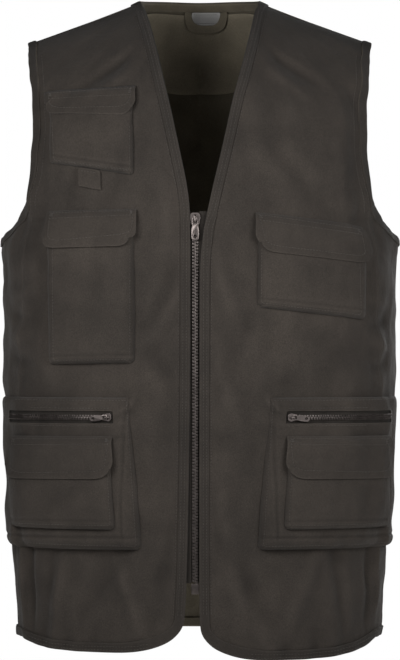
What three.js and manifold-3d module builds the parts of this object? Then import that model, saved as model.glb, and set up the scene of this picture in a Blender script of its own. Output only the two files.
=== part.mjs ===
// A utility work vest in its worn form: two fronts, a back, bound edges, a metal zip and seven pockets.
// Millimetres, +Z up, the wearer faces -Y, and the wearer's left is +X. The origin lies midway between
// the two points where the shoulder seams meet the neckline.
import * as THREE from "three";
import { mergeVertices } from "three/addons/utils/BufferGeometryUtils.js";
import Module from "manifold-3d";

// Driving dimensions of the garment
const LENGTH = 712; // neck point down to the longest hem
const HALF_WIDTH = 217; // half the width at the base of the armholes
const FRONT_DEPTH = 146; // centre line out to the front of the chest
const BACK_DEPTH = 122; // centre line out to the shoulder blades
const BOXINESS = 0.03; // how square the horizontal section is, 0 for an ellipse
const NECK_HALF = 65; // neck point to the middle
const NECK_DEPTH = 258; // neck point down to where the zip closes the neckline
const SHOULDER_HALF = 187; // shoulder tip to the middle
const SHOULDER_DROP = 47; // neck point down to the shoulder tip
const BACK_NECK = 85; // neck points back to the middle of the back neckline
const ARMHOLE_DEPTH = 262; // neck point down to the base of the armhole
const SEAM_TOP = 222; // neck point down to where the side seam meets the armhole
const ARMHOLE_TURN_UP = 242; // neck point down to where the armhole's back edge turns up
const HEM_RISE = 8; // the wearer's right front ends this much higher than the left
const BACK_HEM = 692; // neck point down to the back hem
const CORNER_ACROSS = 58; // the rounded lower front corner
const CORNER_UP = 36; // its height

// Cloth and the clearances between sewn layers
const CLOTH = 1.6;
const GAP = 0.5;
const OVERLAY_GAP = 1.35; // between a panel and a pocket, flap or facing sewn flat on it
const BINDING = 1;
const LIP = GAP + BINDING; // a binding stands this far past the edge and the faces that it wraps
const BINDING_WIDTH = 8;
const SEAM_GAP = 0.5;

// Front zip
const ZIP_LINE = -4.7; // x of the zip, a little to the wearer's right of the middle
const ZIP_HALF_GAP = 5.5; // zip line to the bound edge of each front
const ZIP_TOP = 248; // neck point down to the top of the slider
const ZIP_BOTTOM = 631;
const TAPE = 0.8;
const TAPE_WIDTH = 13;
const CHAIN_WIDTH = 7.6;
const CHAIN_THICK = 3.2;

// Neck fittings
const FACING_DROP = 94; // neck point down to the foot of the facing inside the back neck
const FACING_HALF = 92; // half the facing's width
const FACING_SIDE = 19; // neck point down to each end of the facing's foot
const FACING_END = 0.1; // radians that the facing ends short of each neck point
const FACING_GAP = 2.2;
const LOOP_WIDTH = 54;
const LOOP_DROP = 22;
const LOOP_STRAP = 9;
const LOOP_STANDOFF = 7;
const LOOP_TOP = 2; // neck point down to the loop's sewn ends
const LABEL_TOP = 3; // neck point down to the label
const NECK_MIDDLE = 8; // the loop and the label sit this far to the wearer's left
const LABEL_WIDTH = 35;
const LABEL_HEIGHT = 14;
const LABEL_THICK = 0.8;

// Horizontal sections: height as a share of LENGTH below the neck points, the rest as shares of
// HALF_WIDTH, FRONT_DEPTH and BACK_DEPTH.
const SECTIONS = [
  { down: -0.08, half: 1.025, front: 0.86, back: 0.9 },
  { down: 0.1, half: 1.02, front: 0.9, back: 0.97 },
  { down: 0.22, half: 1.01, front: 0.96, back: 1.0 },
  { down: 0.37, half: 1.0, front: 1.0, back: 0.98 },
  { down: 0.47, half: 0.988, front: 1.0, back: 0.93 },
  { down: 0.61, half: 0.986, front: 1.0, back: 0.89 },
  { down: 0.77, half: 0.945, front: 0.985, back: 0.94 },
  { down: 0.89, half: 0.933, front: 0.965, back: 0.985 },
  { down: 1.0, half: 0.898, front: 0.955, back: 1.0 },
];

// How each side of the vest turns over the shoulder: where the turn starts, as a share of LENGTH, and
// how full it is.
const ROLL_FRONT = { start: 0.28, fullness: 1.15 };
const ROLL_BACK = { start: 0.2, fullness: 1 };

// Shoulder line: distance out as a share of the way from NECK_HALF to SHOULDER_HALF, drop as a share
// of SHOULDER_DROP. The rows inside the neck carry the back over to its neckline.
const SHOULDER_LINE = [
  { out: -0.53, drop: -1.62 },
  { out: -0.37, drop: -1.38 },
  { out: -0.2, drop: -0.82 },
  { out: -0.08, drop: -0.31 },
  { out: 0, drop: 0.02 },
  { out: 0.12, drop: 0.16 },
  { out: 0.21, drop: 0.29 },
  { out: 0.49, drop: 0.53 },
  { out: 1, drop: 1 },
];

// Neck edge of each front's binding: height as a share of NECK_DEPTH, distance out as a share of NECK_HALF.
const NECK_EDGE = [
  { down: 0, right: 0.977, left: 0.977 },
  { down: 0.145, right: 0.79, left: 0.85 },
  { down: 0.3, right: 0.64, left: 0.7 },
  { down: 0.43, right: 0.52, left: 0.55 },
  { down: 0.58, right: 0.39, left: 0.43 },
  { down: 0.71, right: 0.28, left: 0.31 },
  { down: 0.81, right: 0.195, left: 0.215 },
  { down: 0.895, right: 0.14, left: 0.135 },
  { down: 1, right: 0.14, left: 0.05 },
];
const NECK_ENDS = 0.89; // share of NECK_DEPTH where the neck edge starts to run into the zip's edge

// The gap beside the zip, as a multiple of ZIP_HALF_GAP, over the length below the neck.
const ZIP_EDGE = [
  { down: 0.362, right: 1.02, left: 1.0 },
  { down: 0.6, right: 1.1, left: 0.9 },
  { down: 0.89, right: 1.75, left: 0.85 },
  { down: 1.0, right: 2.6, left: 1.0 },
];

// Side seam: height as a share of LENGTH, and degrees round from the middle of the front.
const SIDE_SEAM = [
  { down: 0.31, turn: 57 },
  { down: 0.37, turn: 57.5 },
  { down: 0.49, turn: 60 },
  { down: 0.61, turn: 64 },
  { down: 0.77, turn: 66 },
  { down: 0.89, turn: 67.5 },
  { down: 0.98, turn: 71 },
];
const ARMHOLE_BOW = { front: 2.5, back: 3.5 }; // degrees that each armhole edge bows to the middle
const ARMHOLE_BACK_TURN = 114; // degrees round to where the armhole's back edge turns up

// Soft folds of the cloth. Where each one lies: turn is degrees round from the middle of the front,
// down a share of LENGTH. Its half length is a share of LENGTH and its half width a share of HALF_WIDTH.
// lean is in degrees from upright, and rise is a share of FRONT_DEPTH, outwards.
const FOLDS = [
  { turn: -33, down: 0.43, length: 0.14, width: 0.11, lean: 14, rise: -0.03 },
  { turn: -17, down: 0.5, length: 0.16, width: 0.08, lean: 24, rise: -0.028 },
  { turn: -9, down: 0.62, length: 0.13, width: 0.07, lean: 30, rise: 0.022 },
  { turn: 18, down: 0.66, length: 0.16, width: 0.07, lean: -16, rise: -0.024 },
  { turn: 9, down: 0.5, length: 0.13, width: 0.08, lean: -25, rise: 0.02 },
  { turn: 50, down: 0.53, length: 0.09, width: 0.09, lean: 12, rise: 0.022 },
  { turn: -52, down: 0.53, length: 0.08, width: 0.09, lean: -10, rise: 0.018 },
  { turn: -28, down: 0.92, length: 0.09, width: 0.09, lean: 34, rise: -0.035 },
  { turn: -12, down: 0.95, length: 0.07, width: 0.07, lean: -20, rise: 0.026 },
  { turn: 13, down: 0.95, length: 0.09, width: 0.08, lean: -24, rise: -0.03 },
  { turn: 40, down: 0.94, length: 0.08, width: 0.1, lean: 20, rise: 0.028 },
  { turn: 70, down: 0.9, length: 0.1, width: 0.06, lean: -8, rise: 0.03 },
  { turn: -70, down: 0.9, length: 0.1, width: 0.06, lean: 8, rise: 0.03 },
  { turn: 150, down: 0.62, length: 0.18, width: 0.12, lean: -14, rise: 0.035 },
  { turn: -150, down: 0.62, length: 0.18, width: 0.12, lean: 14, rise: 0.035 },
  { turn: 172, down: 0.8, length: 0.16, width: 0.1, lean: 6, rise: -0.035 },
  { turn: 118, down: 0.75, length: 0.15, width: 0.1, lean: -10, rise: -0.04 },
  { turn: -118, down: 0.75, length: 0.15, width: 0.1, lean: 10, rise: -0.04 },
];

// Pockets. across is the place of the top middle as a share of HALF_WIDTH, down a share of LENGTH.
// width, height, depth and flap are millimetres, and tilt is degrees that the top falls to the left.
const UPPER_POCKET = { across: -0.55, down: 0.142, width: 97, height: 104, depth: 7, flap: 40, tilt: 11 };
const RIGHT_POCKET = { across: -0.546, down: 0.325, width: 97, height: 165, depth: 13, flap: 40, tilt: -1 };
const LEFT_POCKET = { across: 0.568, down: 0.339, width: 122, height: 101, depth: 13, flap: 41, tilt: 6.2 };
const CARGO_POCKET = { across: 0.757, down: 0.607, width: 187, height: 163, tilt: 0 };
const CARGO_FLARE = 6; // the inner edge of a cargo pocket leans this far to the middle at its foot
const CARGO_DEPTH = { inner: 19, outer: 11, top: 0.4, foot: 0.8 }; // at its sides; shares at its ends
const POCKET_WALL = 1.2;
const MOUTH_DROP = 8; // the pocket's mouth lies this far under the flap's seam
const MOUTH_DEPTH = 6; // how far the mouth stands open under its flap
const FLAT_FROM = 1.6; // a pocket's face is flat this many depths in from its sides
const FULL_DROP = 45; // a pocket reaches its full depth this far below its top
const FLAP_OVERHANG = 4;
const FLAP_CORNER = { across: 11, up: 6.6 };
const FLAP_ROWS = [0.45, 0.75, 1]; // rows of a flap below the pocket's mouth, as shares of its height
const FLAP_DROOP = { from: 0.75, share: 0.25 }; // past this share of its half width it sinks by this share
const FLAP_THICK = 1.8;
const FLAP_CLEAR = 1.2;
const PATCH = { inner: 22, outer: 45, down: 41, height: 99, depth: 9, flap: 45 }; // on a cargo pocket
const WINDOW = { inner: 16, outer: 34, down: 14.5, height: 13 }; // the zip's opening in a cargo pocket
const ZIP_DROP = 0.6; // the tape lies this much deeper than the pocket's wall, and its chain stands on it
const ZIP_SEAM = 4; // a pocket zip's tape runs this far under the edges of its window
const CHAIN_END = 1; // between a side of the window and the slider or the end of the chain
const PEN_LOOP = { aside: 1, width: 24, height: 22, layer: 1, fold: 1 };

// Pull tab and slider of a zip, for a front zip; the pocket zips take POCKET_ZIP of it.
const SLIDER_WIDTH = 11;
const SLIDER_LENGTH = 13;
const SLIDER_THICK = 6;
const BRIDGE_WIDTH = 2.4;
const BRIDGE_REACH = 3.7;
const PULL_WIDTH = 8;
const PULL_LENGTH = 24;
const PULL_THICK = 1.2;
const PULL_SLOT = 4.2;
const PULL_BAR = 0.9; // half the length of the bar that turns under the bridge
const PULL_LIFT = 0.6; // clearance between the slider and the pull tab
const BOX_WIDTH = 8.4;
const BOX_HEIGHT = 11;
const BOX_THICK = 4;
const POCKET_ZIP = 0.78;
const PULL_SWAY = 5; // degrees a pocket's pull tab hangs out of line

const degrees = THREE.MathUtils.degToRad;
const clamp = THREE.MathUtils.clamp;
const lerp = THREE.MathUtils.lerp;
const smooth = (x) => THREE.MathUtils.smoothstep(x, 0, 1);

// A smooth curve through a table's rows: the value of column `to` where column `from` has a value.
function curve(rows, from, to) {
  const x = rows.map((row) => row[from]);
  const y = rows.map((row) => row[to]);
  const last = rows.length - 1;
  const slope = x.map((_, i) => {
    const a = Math.max(0, i - 1);
    const b = Math.min(last, i + 1);
    return (y[b] - y[a]) / (x[b] - x[a]);
  });
  return (at) => {
    const v = clamp(at, x[0], x[last]);
    let i = 0;
    while (i < last - 1 && v > x[i + 1]) i++;
    const span = x[i + 1] - x[i];
    const f = (v - x[i]) / span;
    const g = 1 - f;
    return (
      y[i] * g * g * (1 + 2 * f) +
      y[i + 1] * f * f * (3 - 2 * f) +
      slope[i] * span * f * g * g -
      slope[i + 1] * span * f * f * g
    );
  };
}

const halfAt = curve(SECTIONS, "down", "half");
const frontAt = curve(SECTIONS, "down", "front");
const backAt = curve(SECTIONS, "down", "back");
const shoulderAt = curve(SHOULDER_LINE, "out", "drop");
const seamTurn = curve(SIDE_SEAM, "down", "turn");

// Height of the shoulder line at a distance out from the middle.
function shoulderHeight(out) {
  return -SHOULDER_DROP * shoulderAt((out - NECK_HALF) / (SHOULDER_HALF - NECK_HALF));
}

// The section's shape: sine and cosine with a little of their third harmonic, which squares an ellipse.
const squareSin = (t) => (Math.sin(t) + BOXINESS * Math.sin(3 * t)) / (1 - BOXINESS);
const squareCos = (t) => (Math.cos(t) - BOXINESS * Math.cos(3 * t)) / (1 - BOXINESS);

// The angle at which the section's squared sine has a value, on the front of the body.
function angleOf(share) {
  let s = clamp(share, -1, 1);
  const target = s * (1 - BOXINESS);
  for (let i = 0; i < 8; i++) {
    const value = s * (1 + 3 * BOXINESS) - 4 * BOXINESS * s ** 3;
    const rate = 1 + 3 * BOXINESS - 12 * BOXINESS * s ** 2;
    s -= (value - target) / rate;
  }
  return Math.asin(clamp(s, -1, 1));
}

const rollOf = (t) => (Math.cos(t) >= 0 ? ROLL_FRONT : ROLL_BACK);
const rollStart = (t) => -rollOf(t).start * LENGTH;
const rollLength = (t) => -rollStart(t);

// How far the folds push the cloth out at angle t and level h.
function foldRise(t, h) {
  let rise = 0;
  for (const fold of FOLDS) {
    let turn = t - degrees(fold.turn);
    turn = Math.atan2(Math.sin(turn), Math.cos(turn));
    const x = turn * HALF_WIDTH;
    const z = h + fold.down * LENGTH;
    const lean = degrees(fold.lean);
    const along = (z * Math.cos(lean) + x * Math.sin(lean)) / (fold.length * LENGTH);
    const beside = (x * Math.cos(lean) - z * Math.sin(lean)) / (fold.width * HALF_WIDTH);
    rise += fold.rise * FRONT_DEPTH * Math.exp(-(along ** 2) - beside ** 2);
  }
  return rise;
}

// The inner face of the cloth at angle t round the body and level h. Below the shoulder's turn a level
// is a height; above it, it runs on over the turn and reaches the shoulder line at `crest(t)`.
const crest = (t) => rollStart(t) + (rollLength(t) * Math.PI) / 2;
const turnAt = (t, h) => clamp((h - rollStart(t)) / rollLength(t), 0, Math.PI / 2);
const sectionAt = (t, h) =>
  -(Math.min(h, rollStart(t)) + rollLength(t) * Math.sin(turnAt(t, h))) / LENGTH;
function body(t, h) {
  const start = rollStart(t);
  const turn = turnAt(t, h);
  const down = sectionAt(t, h);
  const x = HALF_WIDTH * halfAt(down) * squareSin(t);
  const z = h > start ? start + (shoulderHeight(Math.abs(x)) - start) * Math.sin(turn) : h;
  const front = Math.cos(t) >= 0;
  const depth = front ? FRONT_DEPTH * frontAt(down) : BACK_DEPTH * backAt(down);
  const y = -depth * squareCos(t) * Math.max(Math.cos(turn), 0) ** rollOf(t).fullness;
  return new THREE.Vector3(x, y, z);
}

// The body with its folds: points are pushed along the smooth body's own normal.
function slopes(t, h, step = 0.5) {
  const across = step / HALF_WIDTH;
  const round = body(t + across, h).sub(body(t - across, h)).divideScalar(2 * across);
  const top = Math.min(h + step, crest(t));
  const up = body(t, top).sub(body(t, top - 2 * step)).divideScalar(2 * step);
  return { round, up, normal: round.clone().cross(up).normalize() };
}
function raised(t, h, off) {
  return body(t, h).addScaledVector(slopes(t, h).normal, off + foldRise(t, h));
}

// The angle and level of a point seen from the front, or from behind, at x and z.
function placeOf(x, z, behind = false) {
  const side = behind ? Math.PI : 0;
  const start = rollStart(side);
  const height = shoulderHeight(Math.abs(x)) - start;
  const turn = z > start ? Math.asin(clamp((z - start) / height, 0, 1)) : 0;
  const level = z > start ? start + rollLength(side) * turn : z;
  const angle = angleOf(x / (HALF_WIDTH * halfAt(sectionAt(side, level))));
  return { t: behind ? Math.sign(x || 1) * Math.PI - angle : angle, h: level };
}

// Walks a distance in millimetres round the body at one level.
function walk(t, h, distance) {
  const steps = 8;
  for (let i = 0; i < steps; i++) {
    t += distance / steps / slopes(t, h).round.length();
  }
  return t;
}

// Moves a border point in from its edge by a distance, square to the border. `turn` is +1 or -1.
function inset(place, before, after, distance, turn) {
  const { round, up, normal } = slopes(place.t, place.h);
  const along = round.clone().multiplyScalar(after.t - before.t);
  along.addScaledVector(up, after.h - before.h);
  const inward = normal.clone().cross(along).normalize().multiplyScalar(turn * distance);
  const rr = round.dot(round);
  const ru = round.dot(up);
  const uu = up.dot(up);
  const scale = rr * uu - ru * ru;
  const t = (inward.dot(round) * uu - inward.dot(up) * ru) / scale;
  const h = (inward.dot(up) * rr - inward.dot(round) * ru) / scale;
  return { t: place.t + t, h: Math.min(place.h + h, crest(place.t)) };
}

// Meshes

// A mesh from points and triangles, turned right side out.
function mesh(name, points, triangles, material) {
  let volume = 0;
  for (const [a, b, c] of triangles) {
    volume += points[a].clone().cross(points[b]).dot(points[c]);
  }
  const faces = volume < 0 ? triangles.map(([a, b, c]) => [a, c, b]) : triangles;
  const geometry = new THREE.BufferGeometry().setFromPoints(points);
  geometry.setIndex(faces.flat());
  geometry.computeVertexNormals();
  const made = new THREE.Mesh(geometry, material);
  made.name = name;
  return made;
}

// Two triangles on four corners, split along the shorter diagonal.
function split(points, triangles, a, b, c, d) {
  const first = points[a].distanceTo(points[c]);
  const second = points[b].distanceTo(points[d]);
  if (first <= second) triangles.push([a, b, c], [a, c, d]);
  else triangles.push([a, b, d], [b, c, d]);
}

// A closed wall between two matching grids of points. keep(row, column) says which cells are cloth, and
// each border between a kept cell and an open one is closed by a rim.
function wall(name, outer, inner, material, keep = () => true) {
  const rows = outer.length - 1;
  const columns = outer[0].length - 1;
  const inside = (r, c) => r >= 0 && c >= 0 && r < rows && c < columns && keep(r, c);
  const used = new Map();
  const points = [];
  const corner = (grid, side, r, c) => {
    const key = `${side} ${r} ${c}`;
    if (!used.has(key)) {
      used.set(key, points.length);
      points.push(grid[r][c]);
    }
    return used.get(key);
  };
  const out = (r, c) => corner(outer, 0, r, c);
  const under = (r, c) => corner(inner, 1, r, c);
  const triangles = [];
  const quad = (a, b, c, d) => split(points, triangles, a, b, c, d);
  const rim = (r0, c0, r1, c1) => quad(out(r1, c1), out(r0, c0), under(r0, c0), under(r1, c1));
  for (let r = 0; r < rows; r++) {
    for (let c = 0; c < columns; c++) {
      if (!inside(r, c)) continue;
      quad(out(r, c), out(r, c + 1), out(r + 1, c + 1), out(r + 1, c));
      quad(under(r, c), under(r + 1, c), under(r + 1, c + 1), under(r, c + 1));
      if (!inside(r - 1, c)) rim(r, c, r, c + 1);
      if (!inside(r, c + 1)) rim(r, c + 1, r + 1, c + 1);
      if (!inside(r + 1, c)) rim(r + 1, c + 1, r + 1, c);
      if (!inside(r, c - 1)) rim(r + 1, c, r, c);
    }
  }
  return mesh(name, points, triangles, material);
}

// A run of matching sections joined into one solid. flat is one section drawn in a plane, for its caps.
function sweep(name, sections, flat, material, loop = false) {
  const count = flat.length;
  const points = sections.flat();
  const triangles = [];
  const runs = loop ? sections.length : sections.length - 1;
  for (let s = 0; s < runs; s++) {
    const a = s * count;
    const b = ((s + 1) % sections.length) * count;
    for (let i = 0; i < count; i++) {
      const j = (i + 1) % count;
      split(points, triangles, a + i, a + j, b + j, b + i);
    }
  }
  if (!loop) {
    const end = (sections.length - 1) * count;
    const outline = flat.map(([x, y]) => new THREE.Vector2(x, y));
    const caps = THREE.ShapeUtils.triangulateShape(outline, []);
    const clockwise = THREE.ShapeUtils.isClockWise(outline) ? 1 : -1;
    for (const [i, j, k] of caps) {
      const cap = clockwise > 0 ? [i, k, j] : [i, j, k];
      triangles.push([cap[0], cap[2], cap[1]], cap.map((n) => n + end));
    }
  }
  return mesh(name, points, triangles, material);
}

// Materials
const cloth = new THREE.MeshStandardMaterial({ color: 0x413c38, roughness: 0.9, metalness: 0 });
const tapeCloth = new THREE.MeshStandardMaterial({ color: 0x38332f, roughness: 0.95, metalness: 0 });
const labelCloth = new THREE.MeshStandardMaterial({ color: 0x3d4247, roughness: 0.8, metalness: 0 });
const metal = new THREE.MeshStandardMaterial({ color: 0x675f5c, roughness: 0.35, metalness: 0.9 });

const vest = new THREE.Group();
const wasm = await Module();
wasm.setup();

// Meshes joined into one, or the first with the others cut out of it.
function solidOf(geometry) {
  const bare = new THREE.BufferGeometry().setAttribute("position", geometry.getAttribute("position"));
  bare.setIndex(geometry.index);
  const merged = mergeVertices(bare, 1e-4);
  const data = { numProp: 3, vertProperties: merged.attributes.position.array };
  return new wasm.Manifold(new wasm.Mesh({ ...data, triVerts: new Uint32Array(merged.index.array) }));
}
function joined(name, first, others, material) {
  const whole = others.reduce((all, geometry) => all.add(solidOf(geometry)), solidOf(first));
  const data = whole.getMesh();
  const geometry = new THREE.BufferGeometry();
  geometry.setAttribute("position", new THREE.BufferAttribute(data.vertProperties, 3));
  geometry.setIndex(new THREE.BufferAttribute(data.triVerts, 1));
  geometry.computeVertexNormals();
  const made = new THREE.Mesh(geometry, material);
  made.name = name;
  return made;
}

// Panels

// A grid of places filled in between four borders. left and right run up, bottom and top across.
function patch(left, right, bottom, top) {
  const rows = left.length - 1;
  const columns = bottom.length - 1;
  const mix = (r, c, key) => {
    const s = bottom[c].share;
    const v = left[r].share;
    const across = lerp(left[r][key], right[r][key], s);
    const upward = lerp(bottom[c][key], top[c][key], v);
    const low = lerp(left[0][key], right[0][key], s);
    const high = lerp(left[rows][key], right[rows][key], s);
    return across + upward - lerp(low, high, v);
  };
  return left.map((_, r) => bottom.map((_, c) => ({ t: mix(r, c, "t"), h: mix(r, c, "h") })));
}

const lifted = (places, off) => places.map((row) => row.map(({ t, h }) => raised(t, h, off)));

const FRONT_COLUMNS = 9;
const SEAM_ROWS = 10; // rows along the side seam between the hem's binding and the armhole's
const LOW_ROWS = SEAM_ROWS + 2;
const HIGH_ROWS = 10; // rows of a front beside the armhole
const BACK_ROWS = 12; // rows of the back beside the armholes
const CORNER_STEPS = 3;
const SHOULDER_STEPS = 4;
const NECK_STEPS = 4; // columns over half of the back neckline
const BASE_STEPS = 5; // columns under each armhole

const tipTurn = angleOf(SHOULDER_HALF / (HALF_WIDTH * halfAt(0)));
const neckTurn = angleOf(NECK_HALF / (HALF_WIDTH * halfAt(0)));
const seamAngle = (z) => degrees(seamTurn(-z / LENGTH));
const seamHalfGap = SEAM_GAP / 2 / HALF_WIDTH;

// The heights of the rows along a side seam, with one row beside each binding.
function seamLevels() {
  const low = -BACK_HEM + BINDING_WIDTH;
  const high = -SEAM_TOP - BINDING_WIDTH;
  const rising = (i) => lerp(low, high, 1 - (1 - i / SEAM_ROWS) ** 1.25);
  const between = Array.from({ length: SEAM_ROWS + 1 }, (_, i) => rising(i));
  return [-BACK_HEM, ...between, -SEAM_TOP];
}

// Shares along a shoulder seam, with one step beside each binding.
function shoulderShares(steps) {
  const edge = BINDING_WIDTH / (SHOULDER_HALF - NECK_HALF);
  const between = Array.from({ length: steps - 1 }, (_, i) => lerp(edge, 1 - edge, i / (steps - 2)));
  return [0, ...between, 1];
}

// Where a front's inner edge lies, at a height: the neck edge above, the zip's edge below.
function frontEdgeX(side, z) {
  const key = side < 0 ? "right" : "left";
  const zip = ZIP_LINE + side * (ZIP_HALF_GAP * curve(ZIP_EDGE, "down", key)(-z / LENGTH) + LIP);
  const neck = side * (NECK_HALF * curve(NECK_EDGE, "down", key)(-z / NECK_DEPTH) + LIP);
  return lerp(neck, zip, smooth((-z / NECK_DEPTH - NECK_ENDS) / (1 - NECK_ENDS)));
}

// The angle at which a level of the front lies under the neck edge.
function neckEdgePlace(side, level) {
  let t = placeOf(side * NECK_HALF, -NECK_DEPTH / 2).t;
  for (let i = 0; i < 6; i++) {
    const seen = body(t, level);
    t = placeOf(frontEdgeX(side, seen.z), seen.z).t;
  }
  return t;
}

// The places of one front: column 0 is its bound front edge, row 0 its hem.
function frontPlaces(side) {
  const hem = -LENGTH + (side < 0 ? HEM_RISE : 0);
  const sideHem = -BACK_HEM;
  const cornerTop = hem + CORNER_UP;
  const cornerX = frontEdgeX(side, cornerTop);
  const rows = LOW_ROWS + HIGH_ROWS;
  const onCorner = (turn) =>
    placeOf(
      cornerX + side * CORNER_ACROSS * (1 - Math.cos(turn)),
      cornerTop - CORNER_UP * Math.sin(turn),
    );
  const half = Math.PI / 4;
  const levels = seamLevels();
  const left = [];
  const right = [];
  for (let r = 0; r <= rows; r++) {
    const share = r / rows;
    if (r < CORNER_STEPS) left.push({ ...onCorner(half * (1 - r / CORNER_STEPS)), share });
    else if (r <= LOW_ROWS) {
      const z = lerp(cornerTop, -SEAM_TOP, (r - CORNER_STEPS) / (LOW_ROWS - CORNER_STEPS));
      left.push({ ...placeOf(frontEdgeX(side, z), z), share });
    } else {
      const level = lerp(-SEAM_TOP, crest(0) - SEAM_GAP, (r - LOW_ROWS) / HIGH_ROWS);
      left.push({ t: neckEdgePlace(side, level), h: level, share });
    }
    if (r <= LOW_ROWS) {
      const z = levels[r];
      right.push({ t: side * (seamAngle(z) - seamHalfGap), h: z, share });
    } else {
      const f = (r - LOW_ROWS) / HIGH_ROWS;
      const turn = lerp(seamAngle(-SEAM_TOP) - seamHalfGap, tipTurn, f);
      const bow = degrees(ARMHOLE_BOW.front) * Math.sin(Math.PI * f);
      right.push({ t: side * (turn - bow), h: lerp(-SEAM_TOP, crest(0) - SEAM_GAP, f), share });
    }
  }
  const bottom = [];
  const top = [];
  const foot = cornerX + side * CORNER_ACROSS;
  const last = right[0].t;
  for (let c = 0; c <= FRONT_COLUMNS; c++) {
    const share = c / FRONT_COLUMNS;
    if (c < CORNER_STEPS - 1) bottom.push({ ...onCorner(half * (1 + c / (CORNER_STEPS - 1))), share });
    else {
      const f = (c - CORNER_STEPS + 1) / (FRONT_COLUMNS - CORNER_STEPS + 1);
      const rise = f ** 3 * (sideHem - hem);
      bottom.push({ t: lerp(placeOf(foot, hem).t, last, f), h: hem + rise, share });
    }
    const along = shoulderShares(FRONT_COLUMNS)[c];
    top.push({ t: side * lerp(neckTurn, tipTurn, along), h: crest(0) - SEAM_GAP, share });
  }
  left[rows].t = top[0].t;
  const places = patch(left, right, bottom, top);
  const inward = -side;
  for (let r = 1; r < rows; r++) {
    const row = places[r];
    row[1] = inset(row[0], places[r - 1][0], places[r + 1][0], BINDING_WIDTH, inward);
    const end = FRONT_COLUMNS;
    if (r > LOW_ROWS) {
      row[end - 1] = inset(row[end], places[r - 1][end], places[r + 1][end], BINDING_WIDTH, side);
    }
  }
  for (let c = 2; c < FRONT_COLUMNS; c++) {
    places[1][c] = inset(places[0][c], places[0][c - 1], places[0][c + 1], BINDING_WIDTH, side);
  }
  places[1][1] = inset(places[0][0], places[1][0], places[0][1], BINDING_WIDTH, side);
  return places;
}

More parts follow.
